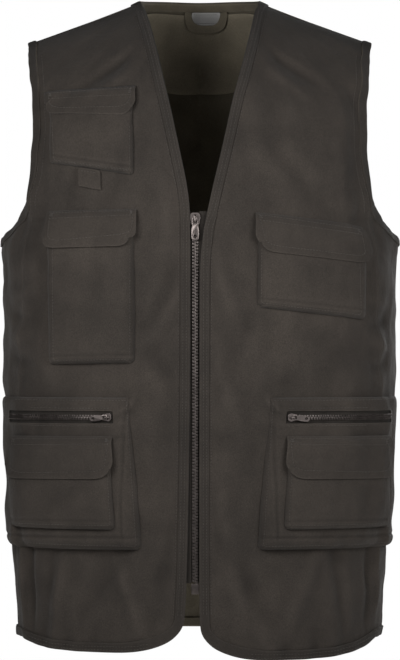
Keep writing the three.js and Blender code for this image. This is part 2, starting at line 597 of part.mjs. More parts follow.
// The back runs from one side seam round to the other. Its lower rows end on the bases of the armholes,
// and its upper rows, which leave out the columns under the armholes, end on the shoulders and the neck.
function backPlaces() {
  const crestBack = crest(Math.PI) - SEAM_GAP;
  const start = seamAngle(-SEAM_TOP) + seamHalfGap;
  const turnUp = degrees(ARMHOLE_BACK_TURN);
  const mirrored = ({ t, h }) => ({ t: 2 * Math.PI - t, h });
  const shared = (list) => list.map((place, i) => ({ ...place, share: i / (list.length - 1) }));

  const base = [];
  for (let i = 0; i <= BASE_STEPS; i++) {
    const f = i / BASE_STEPS;
    const ends = lerp(SEAM_TOP, ARMHOLE_TURN_UP, f);
    const dip = (ARMHOLE_DEPTH - (SEAM_TOP + ARMHOLE_TURN_UP) / 2) * Math.sin(Math.PI * f);
    base.push({ t: lerp(start, turnUp, f), h: -ends - dip });
  }
  const top = shoulderShares(SHOULDER_STEPS).map((share) => {
    return { t: Math.PI - lerp(tipTurn, neckTurn, share), h: crestBack };
  });
  const nextToSeam = Math.asin(BINDING_WIDTH / BACK_NECK);
  for (let i = 0; i < NECK_STEPS; i++) {
    top.push(neckPlace(lerp(nextToSeam, Math.PI / 2, i / (NECK_STEPS - 1))));
  }
  top.push(...top.slice(0, -1).reverse().map(mirrored));
  const across = top.map((_, i) => {
    return { t: lerp(turnUp, 2 * Math.PI - turnUp, i / (top.length - 1)), h: -ARMHOLE_TURN_UP };
  });
  const middle = shared([...base.slice(0, -1), ...across, ...base.slice(0, -1).reverse().map(mirrored)]);

  const left = seamLevels().map((z) => {
    return { t: seamAngle(z) + seamHalfGap, h: z, share: (z + BACK_HEM) / (BACK_HEM - SEAM_TOP) };
  });
  const right = left.map(({ t, h, share }) => ({ t: 2 * Math.PI - t, h, share }));
  const hem = middle.map(({ share }) => ({ t: lerp(left[0].t, right[0].t, share), h: -BACK_HEM, share }));
  const places = patch(left, right, hem, middle);

  const columns = middle.length - 1;
  const levels = Array.from({ length: BACK_ROWS }, (_, i) => {
    return lerp(-ARMHOLE_TURN_UP, crestBack - BINDING_WIDTH, (i / (BACK_ROWS - 1)) ** 1.3);
  });
  const edge = [...levels, crestBack].map((h) => {
    const share = (h + ARMHOLE_TURN_UP) / (crestBack + ARMHOLE_TURN_UP);
    const bow = degrees(ARMHOLE_BOW.back) * Math.sin(Math.PI * share);
    const turn = lerp(turnUp, Math.PI - tipTurn, 1 - (1 - share) ** 6);
    return { t: turn + bow, h, share };
  });
  const farEdge = edge.map(({ t, h, share }) => ({ t: 2 * Math.PI - t, h, share }));
  const upper = patch(edge, farEdge, shared(across), shared(top));
  for (const row of upper.slice(1)) {
    const near = Array(BASE_STEPS).fill(row[0]);
    const far = Array(BASE_STEPS).fill(row[row.length - 1]);
    places.push([...near, ...row, ...far]);
  }

  // Rows and columns beside a bound edge lie one binding's width from it.
  const last = places.length - 1;
  const neck = BASE_STEPS + SHOULDER_STEPS;
  for (let c = 1; c < columns; c++) {
    const [low, high, under] = [places[0], places[last], places[LOW_ROWS]];
    places[1][c] = inset(low[c], low[c - 1], low[c + 1], BINDING_WIDTH, 1);
    if (c < BASE_STEPS || c > columns - BASE_STEPS) {
      places[LOW_ROWS - 1][c] = inset(under[c], under[c - 1], under[c + 1], BINDING_WIDTH, -1);
    }
    if (c >= neck && c <= columns - neck) {
      const corner = c === neck || c === columns - neck ? Math.SQRT2 : 1;
      places[last - 1][c] = inset(high[c], high[c - 1], high[c + 1], corner * BINDING_WIDTH, -1);
    }
  }
  for (const [c, side] of [[BASE_STEPS, 1], [columns - BASE_STEPS, -1]]) {
    for (let r = LOW_ROWS + 1; r < last; r++) {
      const row = places[r];
      row[c + side] = inset(row[c], places[r - 1][c], places[r + 1][c], BINDING_WIDTH, -side);
    }
    const bend = places[LOW_ROWS][c];
    const before = places[LOW_ROWS][c - side];
    const after = places[LOW_ROWS + 1][c];
    places[LOW_ROWS - 1][c] = inset(bend, before, bend, BINDING_WIDTH, -side);
    places[LOW_ROWS][c + side] = inset(bend, bend, after, BINDING_WIDTH, -side);
    places[LOW_ROWS - 1][c + side] = inset(bend, before, after, BINDING_WIDTH, -side);
  }
  return places;
}

// The back neckline, from one neck point (0) to the other (PI).
function neckPlace(turn) {
  const x = NECK_HALF * Math.cos(turn);
  const start = rollStart(Math.PI);
  const depth = BACK_DEPTH * backAt(0) * squareCos(angleOf(x / (HALF_WIDTH * halfAt(0))));
  const fold = Math.acos(((BACK_NECK * Math.sin(turn)) / depth) ** (1 / ROLL_BACK.fullness));
  const level = start + rollLength(Math.PI) * Math.min(fold, Math.PI / 2 - SEAM_GAP / rollLength(Math.PI));
  return { t: Math.PI - angleOf(x / (HALF_WIDTH * halfAt(sectionAt(Math.PI, level)))), h: level };
}

const fronts = { right: frontPlaces(-1), left: frontPlaces(1) };
const back = backPlaces();
for (const [key, places] of Object.entries(fronts)) {
  vest.add(wall(`front_${key}`, lifted(places, CLOTH), lifted(places, 0), cloth));
}
const backColumns = back[0].length - 1;
const underArm = (c) => c < BASE_STEPS || c >= backColumns - BASE_STEPS;
const isBack = (r, c) => r < LOW_ROWS || !underArm(c);
vest.add(wall("back", lifted(back, CLOTH), lifted(back, 0), cloth, isBack));

// Bindings: a strip folded over an edge. Each border point is a place on the edge and one inside it.
const BINDING_FLAT = [
  [0, CLOTH + GAP],
  [0, CLOTH + LIP],
  [BINDING_WIDTH + LIP, CLOTH + LIP],
  [BINDING_WIDTH + LIP, -LIP],
  [0, -LIP],
  [0, -GAP],
  [BINDING_WIDTH + GAP, -GAP],
  [BINDING_WIDTH + GAP, CLOTH + GAP],
];
function binding(name, border, loop = false) {
  const sections = border.map(({ edge, inner }) => {
    const outward = raised(edge.t, edge.h, 0).sub(raised(inner.t, inner.h, 0)).normalize();
    return BINDING_FLAT.map(([across, off]) => {
      if (across === 0) return raised(inner.t, inner.h, off);
      return raised(edge.t, edge.h, off).addScaledVector(outward, across - BINDING_WIDTH);
    });
  });
  vest.add(sweep(name, sections, BINDING_FLAT, cloth, loop));
}
const columnBorder = (places, edge, inner, from, to) =>
  places.slice(from, to).map((row) => ({ edge: row[edge], inner: row[inner] }));
const rowBorder = (places, edge, inner, from, to) =>
  places[edge].slice(from, to).map((place, i) => ({ edge: place, inner: places[inner][from + i] }));

const rows = LOW_ROWS + HIGH_ROWS;
const backRows = back.length - 1;
for (const [key, places] of Object.entries(fronts)) {
  const side = key === "right" ? -1 : 1;
  const hem = rowBorder(places, 0, 1, 1, FRONT_COLUMNS + 1).reverse();
  const corner = [{ edge: places[0][0], inner: places[1][1] }];
  const neck = columnBorder(places, 0, 1, 1, rows + 1);
  binding(`front_binding_${key}`, [...hem, ...corner, ...neck]);
  const seamTop = { edge: places[LOW_ROWS][FRONT_COLUMNS], inner: places[LOW_ROWS - 1][FRONT_COLUMNS] };
  const rising = columnBorder(places, FRONT_COLUMNS, FRONT_COLUMNS - 1, LOW_ROWS + 1, rows + 1);
  const ahead = [seamTop, ...rising];
  const column = side > 0 ? BASE_STEPS : backColumns - BASE_STEPS;
  const behind = columnBorder(back, column, column + side, LOW_ROWS, backRows + 1).reverse();
  behind[behind.length - 1].inner = back[LOW_ROWS - 1][column + side];
  for (let i = 1; i <= BASE_STEPS; i++) {
    const c = column - side * i;
    behind.push({ edge: back[LOW_ROWS][c], inner: back[LOW_ROWS - 1][c] });
  }
  binding(`armhole_binding_${key}`, [...ahead, ...behind], true);
}
const neckFrom = BASE_STEPS + SHOULDER_STEPS;
const neckBorder = rowBorder(back, backRows, backRows - 1, neckFrom, backColumns - neckFrom + 1);
neckBorder[0].inner = back[backRows][neckFrom - 1];
neckBorder[neckBorder.length - 1].inner = back[backRows][backColumns - neckFrom + 1];
binding("neck_binding", neckBorder);
binding("hem_binding", rowBorder(back, 0, 1, 0, backColumns + 1));

// Inside the back neck: a half-moon facing, the hanger loop and the bare label.
const FACING_FLOOR = -(FACING_GAP + CLOTH);
const FACING_STEPS = 12;
const facing = Array.from({ length: 4 }, (_, r) =>
  Array.from({ length: FACING_STEPS + 1 }, (_, i) => {
    const turn = lerp(FACING_END, Math.PI - FACING_END, i / FACING_STEPS);
    const reach = lerp(1 + (BINDING_WIDTH + LIP) / NECK_HALF, FACING_HALF / NECK_HALF, r / 3);
    const upper = neckPlace(turn);
    const x = NECK_HALF * reach * Math.cos(turn);
    const top = body(upper.t, upper.h).z - BINDING_WIDTH - LIP;
    const foot = -FACING_DROP * Math.sin(turn) - FACING_SIDE * Math.abs(Math.cos(turn));
    const z = lerp(top, foot, r / 3);
    return placeOf(x, Math.min(z, shoulderHeight(Math.abs(x)) - BINDING_WIDTH), true);
  }),
);
vest.add(wall("back_neck_facing", lifted(facing, -FACING_GAP), lifted(facing, FACING_FLOOR), cloth));

// A point inside the back, seen from the front at x and z, at a distance in from the cloth.
function insideBack(x, z, inward) {
  const { t, h } = placeOf(x, z, true);
  return raised(t, h, -inward);
}
// across is a share of LOOP_WIDTH, down a share of LOOP_DROP and lift a share of LOOP_STANDOFF.
const loopPath = [
  { across: -0.5, down: 0, lift: 0 },
  { across: -0.5, down: 0.55, lift: 0.7 },
  { across: -0.36, down: 1, lift: 1 },
  { across: 0.36, down: 1, lift: 1 },
  { across: 0.5, down: 0.55, lift: 0.7 },
  { across: 0.5, down: 0, lift: 0 },
];
const onFacing = -FACING_FLOOR + OVERLAY_GAP;
const loopSections = loopPath.map(({ across, down, lift }) => {
  const near = onFacing + lift * LOOP_STANDOFF;
  const point = (share, off) => {
    const x = NECK_MIDDLE + across * (LOOP_WIDTH - 2 * LOOP_STRAP * share);
    return insideBack(x, -LOOP_TOP - down * (LOOP_DROP - LOOP_STRAP * share), near + off);
  };
  return [point(0, 0), point(1, 0), point(1, CLOTH), point(0, CLOTH)];
});
const strapFlat = [[0, 0], [LOOP_STRAP, 0], [LOOP_STRAP, CLOTH], [0, CLOTH]];
vest.add(sweep("hanger_loop", loopSections, strapFlat, cloth));

function plate(at, us, vs, inner, outer) {
  const grid = (off) => vs.map((v) => us.map((u) => at(u, v, off)));
  return [grid(outer), grid(inner)];
}
const evenly = (from, to, steps) => Array.from({ length: steps + 1 }, (_, i) => lerp(from, to, i / steps));
const labelAt = (u, v, off) => insideBack(NECK_MIDDLE + u, -LABEL_TOP - v, off);
const labelLines = [evenly(-LABEL_WIDTH / 2, LABEL_WIDTH / 2, 4), evenly(0, LABEL_HEIGHT, 1)];
vest.add(wall("neck_label", ...plate(labelAt, ...labelLines, onFacing, onFacing + LABEL_THICK), labelCloth));

// Front zip

const TAPE_OFF = -(LIP + GAP); // the tape's outer face lies under the bindings
const chainHalf = CHAIN_WIDTH / 2;
const SLIDER_ABOVE = 2; // the tapes end this far above the slider
// Rows at the same heights as a front's, so that what lies on it follows its facets.
function rowsBetween(places, low, high) {
  const inside = places.map((row) => row[0].h).filter((h) => h > low + CLOTH && h < high - CLOTH);
  return [low, ...inside, high];
}
function alongZip(x, z, off) {
  const { t, h } = placeOf(ZIP_LINE + x, z);
  return raised(t, h, off);
}
for (const [key, side] of [["right", -1], ["left", 1]]) {
  const columns = [chainHalf + GAP, (chainHalf + TAPE_WIDTH) / 2, TAPE_WIDTH].map((x) => side * x);
  const levels = rowsBetween(fronts[key], -ZIP_BOTTOM, -ZIP_TOP + SLIDER_LENGTH + SLIDER_ABOVE);
  const grid = (off) => levels.map((z) => columns.map((x) => alongZip(x, z, off)));
  vest.add(wall(`zip_tape_${key}`, grid(TAPE_OFF), grid(TAPE_OFF - TAPE), tapeCloth));
}
const chainFlat = [
  [-chainHalf, -CHAIN_THICK / 2],
  [chainHalf, -CHAIN_THICK / 2],
  [chainHalf, CHAIN_THICK / 2],
  [-chainHalf, CHAIN_THICK / 2],
];
const chainSections = rowsBetween(fronts.right, -ZIP_BOTTOM, -ZIP_TOP).map((z) =>
  chainFlat.map(([x, off]) => alongZip(x, z, TAPE_OFF - TAPE / 2 + off)),
);
vest.add(sweep("zip_chain", chainSections, chainFlat, metal));

// Sliders and pull tabs. In their own frame +Z runs up the zip, -Y out of the cloth, and Y = 0 is the
// tape's outer face.

// A shape drawn as seen from outside the cloth, as thick as `thick`, from `low` outwards.
function slab(shape, low, thick, curveSegments = 5) {
  const geometry = new THREE.ExtrudeGeometry(shape, { depth: thick, bevelEnabled: false, curveSegments });
  geometry.rotateX(Math.PI / 2);
  geometry.translate(0, -low, 0);
  return geometry;
}
function sliderBody(size) {
  const w = (SLIDER_WIDTH / 2) * size;
  const l = SLIDER_LENGTH * size;
  const shape = new THREE.Shape();
  shape.moveTo(-w * 0.72, -l / 2);
  shape.lineTo(w * 0.72, -l / 2);
  shape.lineTo(w, l * 0.1);
  shape.quadraticCurveTo(w, l * 0.42, w * 0.5, l / 2);
  shape.lineTo(-w * 0.5, l / 2);
  shape.quadraticCurveTo(-w, l * 0.42, -w, l * 0.1);
  shape.closePath();
  return slab(shape, GAP, (SLIDER_THICK / 2) * size);
}
const HOLE_SIDES = 8;
const BRIDGE_HALF = 4.2;
const BRIDGE_WALL = 1.1;
function sliderBridge(size) {
  const low = GAP + (SLIDER_THICK / 2) * size;
  const sink = 0.6 * size;
  const [half, reach, thick] = [BRIDGE_HALF, BRIDGE_REACH, BRIDGE_WALL].map((value) => value * size);
  const shape = new THREE.Shape();
  shape.moveTo(-half, -sink);
  shape.lineTo(-half, reach * 0.6);
  shape.lineTo(-half * 0.6, reach);
  shape.lineTo(half * 0.6, reach);
  shape.lineTo(half, reach * 0.6);
  shape.lineTo(half, -sink);
  shape.lineTo(half - thick, -sink);
  shape.lineTo(half - thick, reach * 0.5);
  shape.lineTo(half * 0.5, reach - thick);
  shape.lineTo(-half * 0.5, reach - thick);
  shape.lineTo(-half + thick, reach * 0.5);
  shape.lineTo(-half + thick, -sink);
  shape.closePath();
  const width = BRIDGE_WIDTH * size;
  const geometry = new THREE.ExtrudeGeometry(shape, { depth: width, bevelEnabled: false });
  // The profile's x runs up the zip and its y out of the cloth.
  const axes = new THREE.Matrix4().makeBasis(
    new THREE.Vector3(0, 0, 1),
    new THREE.Vector3(0, -1, 0),
    new THREE.Vector3(1, 0, 0),
  );
  geometry.applyMatrix4(axes);
  geometry.translate(-width / 2, -low, 0);
  return geometry;
}
// Height of the pull tab's pivot over the tape, and half the thickness of its bar.
const pivotHeight = (size) => GAP + (SLIDER_THICK / 2 + PULL_THICK / 2) * size + PULL_LIFT;
function pullTab(size) {
  const [half, length, slot] = [PULL_WIDTH / 2, PULL_LENGTH, PULL_SLOT / 2].map((value) => value * size);
  const bar = PULL_BAR * size;
  const slotEnd = (BRIDGE_HALF + 1.2) * size;
  const shape = new THREE.Shape();
  shape.moveTo(-half * 0.8, bar);
  shape.lineTo(half * 0.8, bar);
  shape.lineTo(half * 0.8, -length * 0.35);
  shape.lineTo(half, -length * 0.5);
  shape.lineTo(half, -length + half);
  shape.absarc(0, -length + half, half, 0, -Math.PI, true);
  shape.lineTo(-half, -length * 0.5);
  shape.lineTo(-half * 0.8, -length * 0.35);
  shape.closePath();
  const eye = new THREE.Path();
  eye.moveTo(-slot, -bar);
  eye.lineTo(-slot, -slotEnd);
  eye.lineTo(slot, -slotEnd);
  eye.lineTo(slot, -bar);
  eye.closePath();
  const holePoint = (i) => {
    const turn = (2 * Math.PI * i) / HOLE_SIDES;
    return new THREE.Vector2(Math.cos(turn), Math.sin(turn)).multiplyScalar(half / 2);
  };
  const middle = new THREE.Vector2(0, -length + half * 1.15);
  const hole = new THREE.Path(Array.from({ length: HOLE_SIDES }, (_, i) => holePoint(i).add(middle)));
  shape.holes.push(eye, hole);
  return slab(shape, -(PULL_THICK * size) / 2, PULL_THICK * size);
}
// The frame of a slider on a surface: out of the cloth, and the direction that its crown points.
function zipFrame(origin, outward, crown) {
  const up = crown.clone().addScaledVector(outward, -crown.dot(outward)).normalize();
  const inward = outward.clone().negate();
  const across = inward.clone().cross(up);
  return new THREE.Matrix4().makeBasis(across, inward, up).setPosition(origin);
}
function addSlider(prefix, frame, size, sway = 0) {
  const slider = joined(`${prefix}_slider`, sliderBody(size), [sliderBridge(size)], metal);
  slider.applyMatrix4(frame);
  const tab = new THREE.Mesh(pullTab(size), metal);
  tab.name = `${prefix}_puller`;
  const hang = new THREE.Matrix4().makeRotationY(degrees(sway));
  const pivot = new THREE.Matrix4().makeTranslation(0, -pivotHeight(size), 0);
  tab.applyMatrix4(frame.clone().multiply(pivot).multiply(hang));
  vest.add(slider, tab);
}

// A frame on the front zip at a height, at the tape's outer face.
function frontZipFrame(z) {
  const { t, h } = placeOf(ZIP_LINE, z);
  return zipFrame(raised(t, h, TAPE_OFF), slopes(t, h).normal, new THREE.Vector3(0, 0, 1));
}
addSlider("zip", frontZipFrame(-ZIP_TOP + GAP + SLIDER_LENGTH / 2), 1);

// The box that holds the foot of the zip
const boxShape = new THREE.Shape();
boxShape.moveTo(-BOX_WIDTH / 2, -BOX_HEIGHT / 2);
boxShape.lineTo(BOX_WIDTH / 2, -BOX_HEIGHT / 2);
boxShape.lineTo(BOX_WIDTH / 2, BOX_HEIGHT / 2);
boxShape.lineTo(-BOX_WIDTH / 2, BOX_HEIGHT / 2);
boxShape.closePath();
const zipBox = new THREE.Mesh(slab(boxShape, -(BOX_THICK + TAPE) / 2, BOX_THICK), metal);
zipBox.name = "zip_box";
zipBox.applyMatrix4(frontZipFrame(-ZIP_BOTTOM - GAP - BOX_HEIGHT / 2));
vest.add(zipBox);

// Pockets

const PANEL_FACE = CLOTH + OVERLAY_GAP;

// Where a pocket's own coordinates lie: u millimetres to the right of its top middle as seen from the
// front, v down from its top, and off from the inner face of the panel's cloth.
function pocketPlace(pocket, side = 1) {
  const start = placeOf(side * pocket.across * HALF_WIDTH, -pocket.down * LENGTH);
  const fall = Math.tan(degrees(pocket.tilt));
  const memory = new Map();
  return (u, v, off) => {
    const key = `${u} ${v}`;
    if (!memory.has(key)) {
      const h = start.h - v - u * fall;
      memory.set(key, { t: walk(start.t, h, u), h });
    }
    const { t, h } = memory.get(key);
    return raised(t, h, off);
  };
}

// Grid lines over a length, with a rounded side at each end that isn't open. Each line has the share of
// the pocket's depth there, and how far the inner skin's line moves in.
const SIDE_ROUND = [
  { at: 0, rise: 0 },
  { at: 0.14, rise: 0.58 },
  { at: 0.65, rise: 0.95 },
];
function pocketLines(from, to, depths, middle, open = false) {
  const side = (end, depth, inward) =>
    SIDE_ROUND.map(({ at, rise }) => ({ at: end + inward * at * depth, rise, shift: inward * (1 - rise) }));
  const first = open ? [{ at: from, rise: 1, shift: 0 }] : side(from, depths[0], 1);
  const last = side(to, depths[1], -1).reverse();
  return [...first, ...middle.map((at) => ({ at, rise: 1, shift: 0 })), ...last];
}

// A hollow pocket: a wall that stands off its floor by the depth at each place.
function pocketWall(name, at, us, vs, floor, depth, keep) {
  const skin = (wallThick) =>
    vs.map((v, r) =>
      us.map((u, c) => {
        const edge = u.rise === 0 || v.rise === 0;
        const x = u.at + u.shift * wallThick;
        const y = v.at + v.shift * wallThick;
        const stand = depth(u.at, v.at) * u.rise * v.rise;
        return at(x, y, floor(x, y) + (edge ? 0 : Math.max(stand - wallThick, 0)));
      }),
    );
  vest.add(wall(name, skin(0), skin(POCKET_WALL), cloth, keep));
}

// A flap sewn along its top edge, over a pocket that stands off by `under`.
function flapWall(name, at, from, to, top, height, floor, under) {
  const columns = evenly(-1, 1, 8).map((share) => Math.sign(share) * Math.abs(share) ** 0.8);
  const rowShares = [0, MOUTH_DROP / height, ...FLAP_ROWS];
  const grid = (thick) =>
    rowShares.map((down) =>
      columns.map((share) => {
        const x = lerp(from, to, (share + 1) / 2);
        const fromSide = (1 - Math.abs(share)) * ((to - from) / 2);
        const corner = clamp(1 - fromSide / FLAP_CORNER.across, 0, 1) ** 2 * FLAP_CORNER.up;
        const v = top + down * (height - corner);
        const lift = FLAP_CLEAR + under(x, v - top, Math.abs(share));
        return at(x, v, floor(x, v) + (down === 0 ? 0 : lift) + thick);
      }),
    );
  vest.add(wall(name, grid(FLAP_THICK), grid(0), cloth));
}

// How deep a pocket with an open mouth stands, below its top.
const filling = (depth, v) => lerp(MOUTH_DEPTH, depth, smooth((v - MOUTH_DROP) / (FULL_DROP - MOUTH_DROP)));

// How far a flap stands off over a pocket, at a share out from its middle.
const drooping = (stand, out) =>
  stand * (1 - FLAP_DROOP.share * smooth((out - FLAP_DROOP.from) / (1 - FLAP_DROOP.from)));

const plainFloor = () => PANEL_FACE;
for (const [name, pocket] of [
  ["upper_pocket", UPPER_POCKET],
  ["right_pocket", RIGHT_POCKET],
  ["left_pocket", LEFT_POCKET],
]) {
  const at = pocketPlace(pocket);
  const half = pocket.width / 2;
  const { depth, height } = pocket;
  const flat = half - FLAT_FROM * depth;
  const us = pocketLines(-half, half, [depth, depth], evenly(-flat, flat, 3));
  const middle = evenly(FULL_DROP / 2, height - FLAT_FROM * depth, 3);
  const vs = pocketLines(MOUTH_DROP, height, [depth, depth], middle, true);
  pocketWall(name, at, us, vs, plainFloor, (u, v) => filling(depth, v));
  const reach = half + FLAP_OVERHANG;
  const under = (u, v, out) => drooping(filling(depth, v), out);
  flapWall(`${name}_flap`, at, -reach, reach, 0, pocket.flap, plainFloor, under);
}

// The pen loop hangs from the foot of the upper pocket: a strap folded on itself.
const penAt = pocketPlace(UPPER_POCKET);
const penTop = UPPER_POCKET.height + GAP;
const { layer, fold, width: penWidth, height: penHeight, aside } = PEN_LOOP;
const penFlat = [
  [0, 0],
  [penHeight, 0],
  [penHeight, 2 * layer + fold],
  [0, 2 * layer + fold],
  [0, layer + fold],
  [penHeight - layer, layer + fold],
  [penHeight - layer, layer],
  [0, layer],
];
const penSections = evenly(-penWidth / 2, penWidth / 2, 2).map((u) =>
  penFlat.map(([down, off]) => penAt(aside + u, penTop + down, PANEL_FACE + off)),
);
vest.add(sweep("pen_loop", penSections, penFlat, cloth));

// Cargo pockets: a bellows pocket with a zip across its top, and a patch pocket with a flap on it. u runs
// out from the middle of the vest.
for (const [key, side] of [["right", -1], ["left", 1]]) {
  const place = pocketPlace(CARGO_POCKET, side);
  const { width, height } = CARGO_POCKET;
  const half = width / 2;
  const at = (u, v, off) => {
    const lean = (CARGO_FLARE * clamp((half - u) / width, 0, 1) * v) / height;
    return place(side * (u - lean), v, off);
  };
  const { inner, outer, top, foot } = CARGO_DEPTH;
  const depth = (u, v) => lerp(inner, outer, (u + half) / width) * lerp(top, 1, smooth(v / height));
  const window = {
    left: -half + WINDOW.inner,
    right: half - WINDOW.outer,
    top: WINDOW.down,
    bottom: WINDOW.down + WINDOW.height,
  };
  const across = evenly(window.left, window.right, 7);
  const us = pocketLines(-half, half, [inner, outer], across);
  const lower = evenly(window.bottom, height - inner, 4);
  const vs = pocketLines(0, height, [inner * top, inner * foot], [window.top, ...lower]);
  const windowRow = SIDE_ROUND.length;
  const windowFrom = SIDE_ROUND.length;
  const open = (r, c) => r === windowRow && c >= windowFrom && c < windowFrom + across.length - 1;
  pocketWall(`${key}_cargo_pocket`, at, us, vs, plainFloor, depth, (r, c) => !open(r, c));

  // The zip lies under the edges of its window.
  const zipOff = (u, v) => PANEL_FACE + depth(u, v) - POCKET_WALL - GAP;
  const middle = (window.top + window.bottom) / 2;
  const pocketChain = chainHalf * POCKET_ZIP;
  const ridge = (CHAIN_THICK / 2) * POCKET_ZIP;
  const zipDown = [
    window.top - ZIP_SEAM,
    middle - pocketChain,
    middle + pocketChain,
    window.bottom + ZIP_SEAM,
  ];
  const sliderLength = SLIDER_LENGTH * POCKET_ZIP;
  const zipAcross = [window.left - ZIP_SEAM, ...across, window.right + ZIP_SEAM];
  const zipGrid = (low) => zipDown.map((v) => zipAcross.map((u) => at(u, v, zipOff(u, v) - ZIP_DROP - low)));
  vest.add(wall(`${key}_cargo_zip_tape`, zipGrid(0), zipGrid(TAPE), tapeCloth));
  const sliderAt = window.left + CHAIN_END + sliderLength / 2;
  const chainFrom = sliderAt + sliderLength / 2 + GAP;
  const chainAcross = [chainFrom, ...across.slice(1, -1), window.right - CHAIN_END];
  const pocketChainSections = chainAcross.map((u) =>
    [
      [middle - pocketChain, GAP],
      [middle + pocketChain, GAP],
      [middle + pocketChain, GAP + ridge],
      [middle - pocketChain, GAP + ridge],
    ].map(([v, off]) => at(u, v, zipOff(u, v) - ZIP_DROP + off)),
  );
  const pocketChainFlat = [[0, 0], [1, 0], [1, 1], [0, 1]];
  vest.add(sweep(`${key}_cargo_zip_chain`, pocketChainSections, pocketChainFlat, metal));
  const seat = at(sliderAt, middle, zipOff(sliderAt, middle) - ZIP_DROP);
  const towardMiddle = at(sliderAt - 1, middle, 0).sub(at(sliderAt + 1, middle, 0)).normalize();
  const downward = at(sliderAt, middle + 1, 0).sub(at(sliderAt, middle - 1, 0)).normalize();
  const outward = towardMiddle.clone().cross(downward).multiplyScalar(side).normalize();
  addSlider(`${key}_cargo`, zipFrame(seat, outward, towardMiddle), POCKET_ZIP, side * PULL_SWAY);

  // The patch pocket stands on the cargo pocket.
  const onCargo = (u, v) => PANEL_FACE + depth(u, v) + OVERLAY_GAP;
  const left = -half + PATCH.inner;
  const right = half - PATCH.outer;
  const patchTop = PATCH.down + MOUTH_DROP;
  const patchFoot = PATCH.down + PATCH.height;
  const flat = FLAT_FROM * PATCH.depth;
  const patchUs = pocketLines(left, right, [PATCH.depth, PATCH.depth], evenly(left + flat, right - flat, 5));
  const patchMiddle = evenly(PATCH.down + FULL_DROP / 2, patchFoot - flat, 2);
  const patchVs = pocketLines(patchTop, patchFoot, [PATCH.depth, PATCH.depth], patchMiddle, true);
  const patchFill = (u, v) => filling(PATCH.depth, v - PATCH.down);
  pocketWall(`${key}_patch_pocket`, at, patchUs, patchVs, onCargo, patchFill);
  const patchUnder = (u, v, out) => drooping(filling(PATCH.depth, v), out);
  const flapEnds = [left - FLAP_OVERHANG, right + FLAP_OVERHANG];
  flapWall(`${key}_patch_flap`, at, ...flapEnds, PATCH.down, PATCH.flap, onCargo, patchUnder);
}

export default vest;
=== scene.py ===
# %% [markdown]
# # The looks of a utility work vest
#
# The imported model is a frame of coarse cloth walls. Each lesson below turns one family of them into
# cloth, metal or thread: smooth the wall, drape it with one shared field of folds, then sew and zip it.
# Everything is in metres, +Z is up and the wearer faces -Y.

# %% Load the frame
import math

import bmesh
import bpy
import numpy as np
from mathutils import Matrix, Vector
from mathutils.bvhtree import BVHTree


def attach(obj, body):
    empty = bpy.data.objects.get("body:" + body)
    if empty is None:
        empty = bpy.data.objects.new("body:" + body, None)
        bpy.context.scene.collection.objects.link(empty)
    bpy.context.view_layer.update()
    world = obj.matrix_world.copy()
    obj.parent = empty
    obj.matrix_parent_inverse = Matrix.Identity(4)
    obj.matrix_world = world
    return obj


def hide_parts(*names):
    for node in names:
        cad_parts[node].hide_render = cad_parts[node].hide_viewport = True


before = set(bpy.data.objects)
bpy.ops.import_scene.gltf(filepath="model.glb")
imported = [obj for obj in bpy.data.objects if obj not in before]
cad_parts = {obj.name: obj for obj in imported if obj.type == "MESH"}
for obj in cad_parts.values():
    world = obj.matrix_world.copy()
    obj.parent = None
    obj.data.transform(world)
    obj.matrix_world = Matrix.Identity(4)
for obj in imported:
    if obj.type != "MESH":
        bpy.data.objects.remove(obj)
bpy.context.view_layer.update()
MM = 0.001

# %% [markdown]
# ## Named sizes of the garment
# The same numbers as in the solid model, for the few places where a seam has to be found again.

# %% Sizes
HALF_WIDTH = 0.217
FRONT_DEPTH = 0.146
BACK_DEPTH = 0.122
NECK_HALF = 0.065
NECK_DEPTH = 0.258
LENGTH = 0.712
ZIP_LINE = -0.0047
ZIP_HALF_GAP = 0.0055
LIP = 0.0015
NECK_ENDS = 0.89
CARGO_SLIDER = (0.0996, -0.4533)
FOLD_HEIGHT = 1.45
BACK_FOLD_HEIGHT = 0.8
RUMPLE = 0.0034
PANEL_FILL = 0.9

NECK_EDGE = np.array([
    # down, right, left
    (0.0, 0.977, 0.977),
    (0.145, 0.79, 0.85),
    (0.3, 0.64, 0.7),
    (0.43, 0.52, 0.55),
    (0.58, 0.39, 0.43),
    (0.71, 0.28, 0.31),
    (0.81, 0.195, 0.215),
    (0.895, 0.14, 0.135),
    (1.0, 0.14, 0.05),
])
ZIP_EDGE = np.array([
    # down, right, left
    (0.362, 1.02, 1.0),
    (0.6, 1.1, 0.9),
    (0.89, 1.75, 0.85),
    (1.0, 2.6, 1.0),
])

# %% [markdown]
# ## The fold field
# Cloth layers that are sewn together move together. So the folds aren't modelled piece by piece: one
# function says how far the cloth stands out at each place round the body, and every piece is pushed by it.

